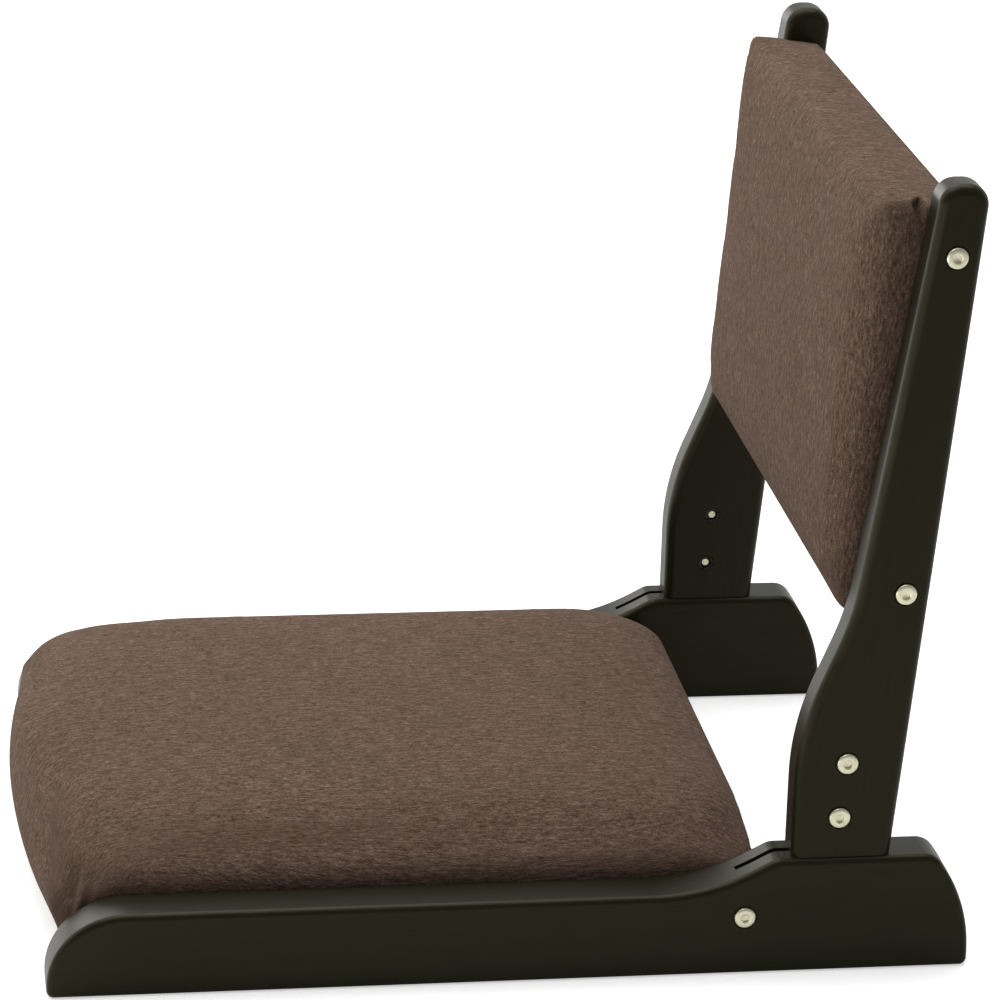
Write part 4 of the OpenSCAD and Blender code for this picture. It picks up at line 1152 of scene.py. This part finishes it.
# The camera's target, direction, distance and shift in mm, its focal length in pixels of a
# picture PICTURE wide, and its sensor in mm
BASE = Vector((12, 6.8, 200))
AZ, EL, ROLL = (radians(a) for a in (81.443, 19.569, 1.642))
DIST, TX, TY, FOCAL, PICTURE, SENSOR = 2484.3, 14.39, 6.04, 4362.9, 1000, 36
back = Vector((sin(AZ) * cos(EL), -cos(AZ) * cos(EL), sin(EL)))
right = (-back).cross(Vector((0, 0, 1))).normalized()
up = right.cross(-back)
right, up = cos(ROLL) * right + sin(ROLL) * up, -sin(ROLL) * right + cos(ROLL) * up
place = (BASE + back * DIST + right * TX + up * TY) * MM

cam = bpy.data.cameras.new("camera")
cam.sensor_width = SENSOR
cam.lens = FOCAL * SENSOR / PICTURE
cam.clip_start, cam.clip_end = 0.05, 60
cam_ob = placed("camera", cam)
turn = Matrix((right, up, back)).transposed().to_4x4()
cam_ob.matrix_world = Matrix.Translation(place) @ turn
bpy.context.scene.camera = cam_ob


def softbox(name, at, to, size, power, colour=(1, 1, 1)):
    lamp = bpy.data.lights.new(name, "AREA")
    lamp.shape, lamp.size, lamp.size_y = "RECTANGLE", *size
    lamp.energy = power
    lamp.color = colour
    ob = placed(name, lamp)
    at, to = Vector(at), Vector(to)
    ob.matrix_world = Matrix.Translation(at) @ (at - to).to_track_quat("Z", "Y").to_matrix().to_4x4()


softbox("overhead", at=(-0.3, -0.2, 2.0), to=(0, 0, 0.2), size=(2.2, 2.2), power=32)
softbox("front", at=(-0.5, -2.2, 1.3), to=(0, 0, 0.25), size=(1.6, 1.6), power=10, colour=(1.0, 0.94, 0.82))
softbox("far_side", at=(-1.9, -0.7, 0.7), to=(0, -0.1, 0.15), size=(1.0, 0.9), power=9)


def backdrop():
    """White to the camera; otherwise a sweep that is bright behind the chair and dim before it."""
    world = bpy.data.worlds.new("studio")
    world.use_nodes = True
    tree = world.node_tree
    tree.nodes.clear()
    new, link = tree.nodes.new, tree.links.new
    out, mixed = new("ShaderNodeOutputWorld"), new("ShaderNodeMixShader")
    seen, lit = new("ShaderNodeBackground"), new("ShaderNodeBackground")
    kinds = ("LightPath", "TexCoord", "SeparateXYZ", "MapRange")
    path, where, axes, sweep = (new("ShaderNode" + k) for k in kinds)
    sweep.interpolation_type = "SMOOTHSTEP"
    for key, value in zip(("From Min", "From Max", "To Min", "To Max"), (-0.35, 0.45, 0.85, 0.3)):
        sweep.inputs[key].default_value = value
    link(where.outputs["Generated"], axes.inputs[0])
    link(axes.outputs["X"], sweep.inputs["Value"])
    link(sweep.outputs[0], lit.inputs["Strength"])
    link(path.outputs["Is Camera Ray"], mixed.inputs[0])
    link(lit.outputs[0], mixed.inputs[1])
    link(seen.outputs[0], mixed.inputs[2])
    link(mixed.outputs[0], out.inputs[0])
    for node in (seen, lit):
        node.inputs["Color"].default_value = (1, 1, 1, 1)
    seen.inputs["Strength"].default_value = 1.0
    return world


bpy.context.scene.world = backdrop()


def floor_material():
    m = Nodes("floor")
    co = m.coords()
    n = m.noise(co, 40.0, 4, 0.6)
    m.set(Base_Color=m.mix(n, rgb(238, 238, 238), rgb(243, 243, 243)), Roughness=0.75,
          Specular_IOR_Level=0.1, Normal=m.bump(n, 0.0002, 0.2))
    # The floor glows: evenly to the camera, and in reflections more towards the front, a painted reflection
    # for the lacquer's edges
    glow = m.add("ShaderNodeEmission")
    glow.inputs["Color"].default_value = (1, 1, 1, 1)
    path = m.add("ShaderNodeLightPath")
    before = m.ramp(m.split(co)[1], -0.2, -0.7, (0.0, 1.6))
    m.link(m.plus(m.times(path.outputs["Is Camera Ray"], 0.5),
                  m.times(path.outputs["Is Glossy Ray"], before)), glow.inputs["Strength"])
    both = m.add("ShaderNodeAddShader")
    m.link(m.bsdf.outputs[0], both.inputs[0])
    m.link(glow.outputs[0], both.inputs[1])
    m.link(both.outputs[0], m.out.inputs[0])
    return m.mat


FLOOR = 6000
floor = new_mesh("floor", [(x * FLOOR, y * FLOOR, 0) for x, y in ((-1, -1), (1, -1), (1, 1), (-1, 1))],
                 [(0, 1, 2, 3)])
floor.data.materials.append(floor_material())
bpy.context.scene.view_settings.view_transform = "Standard"
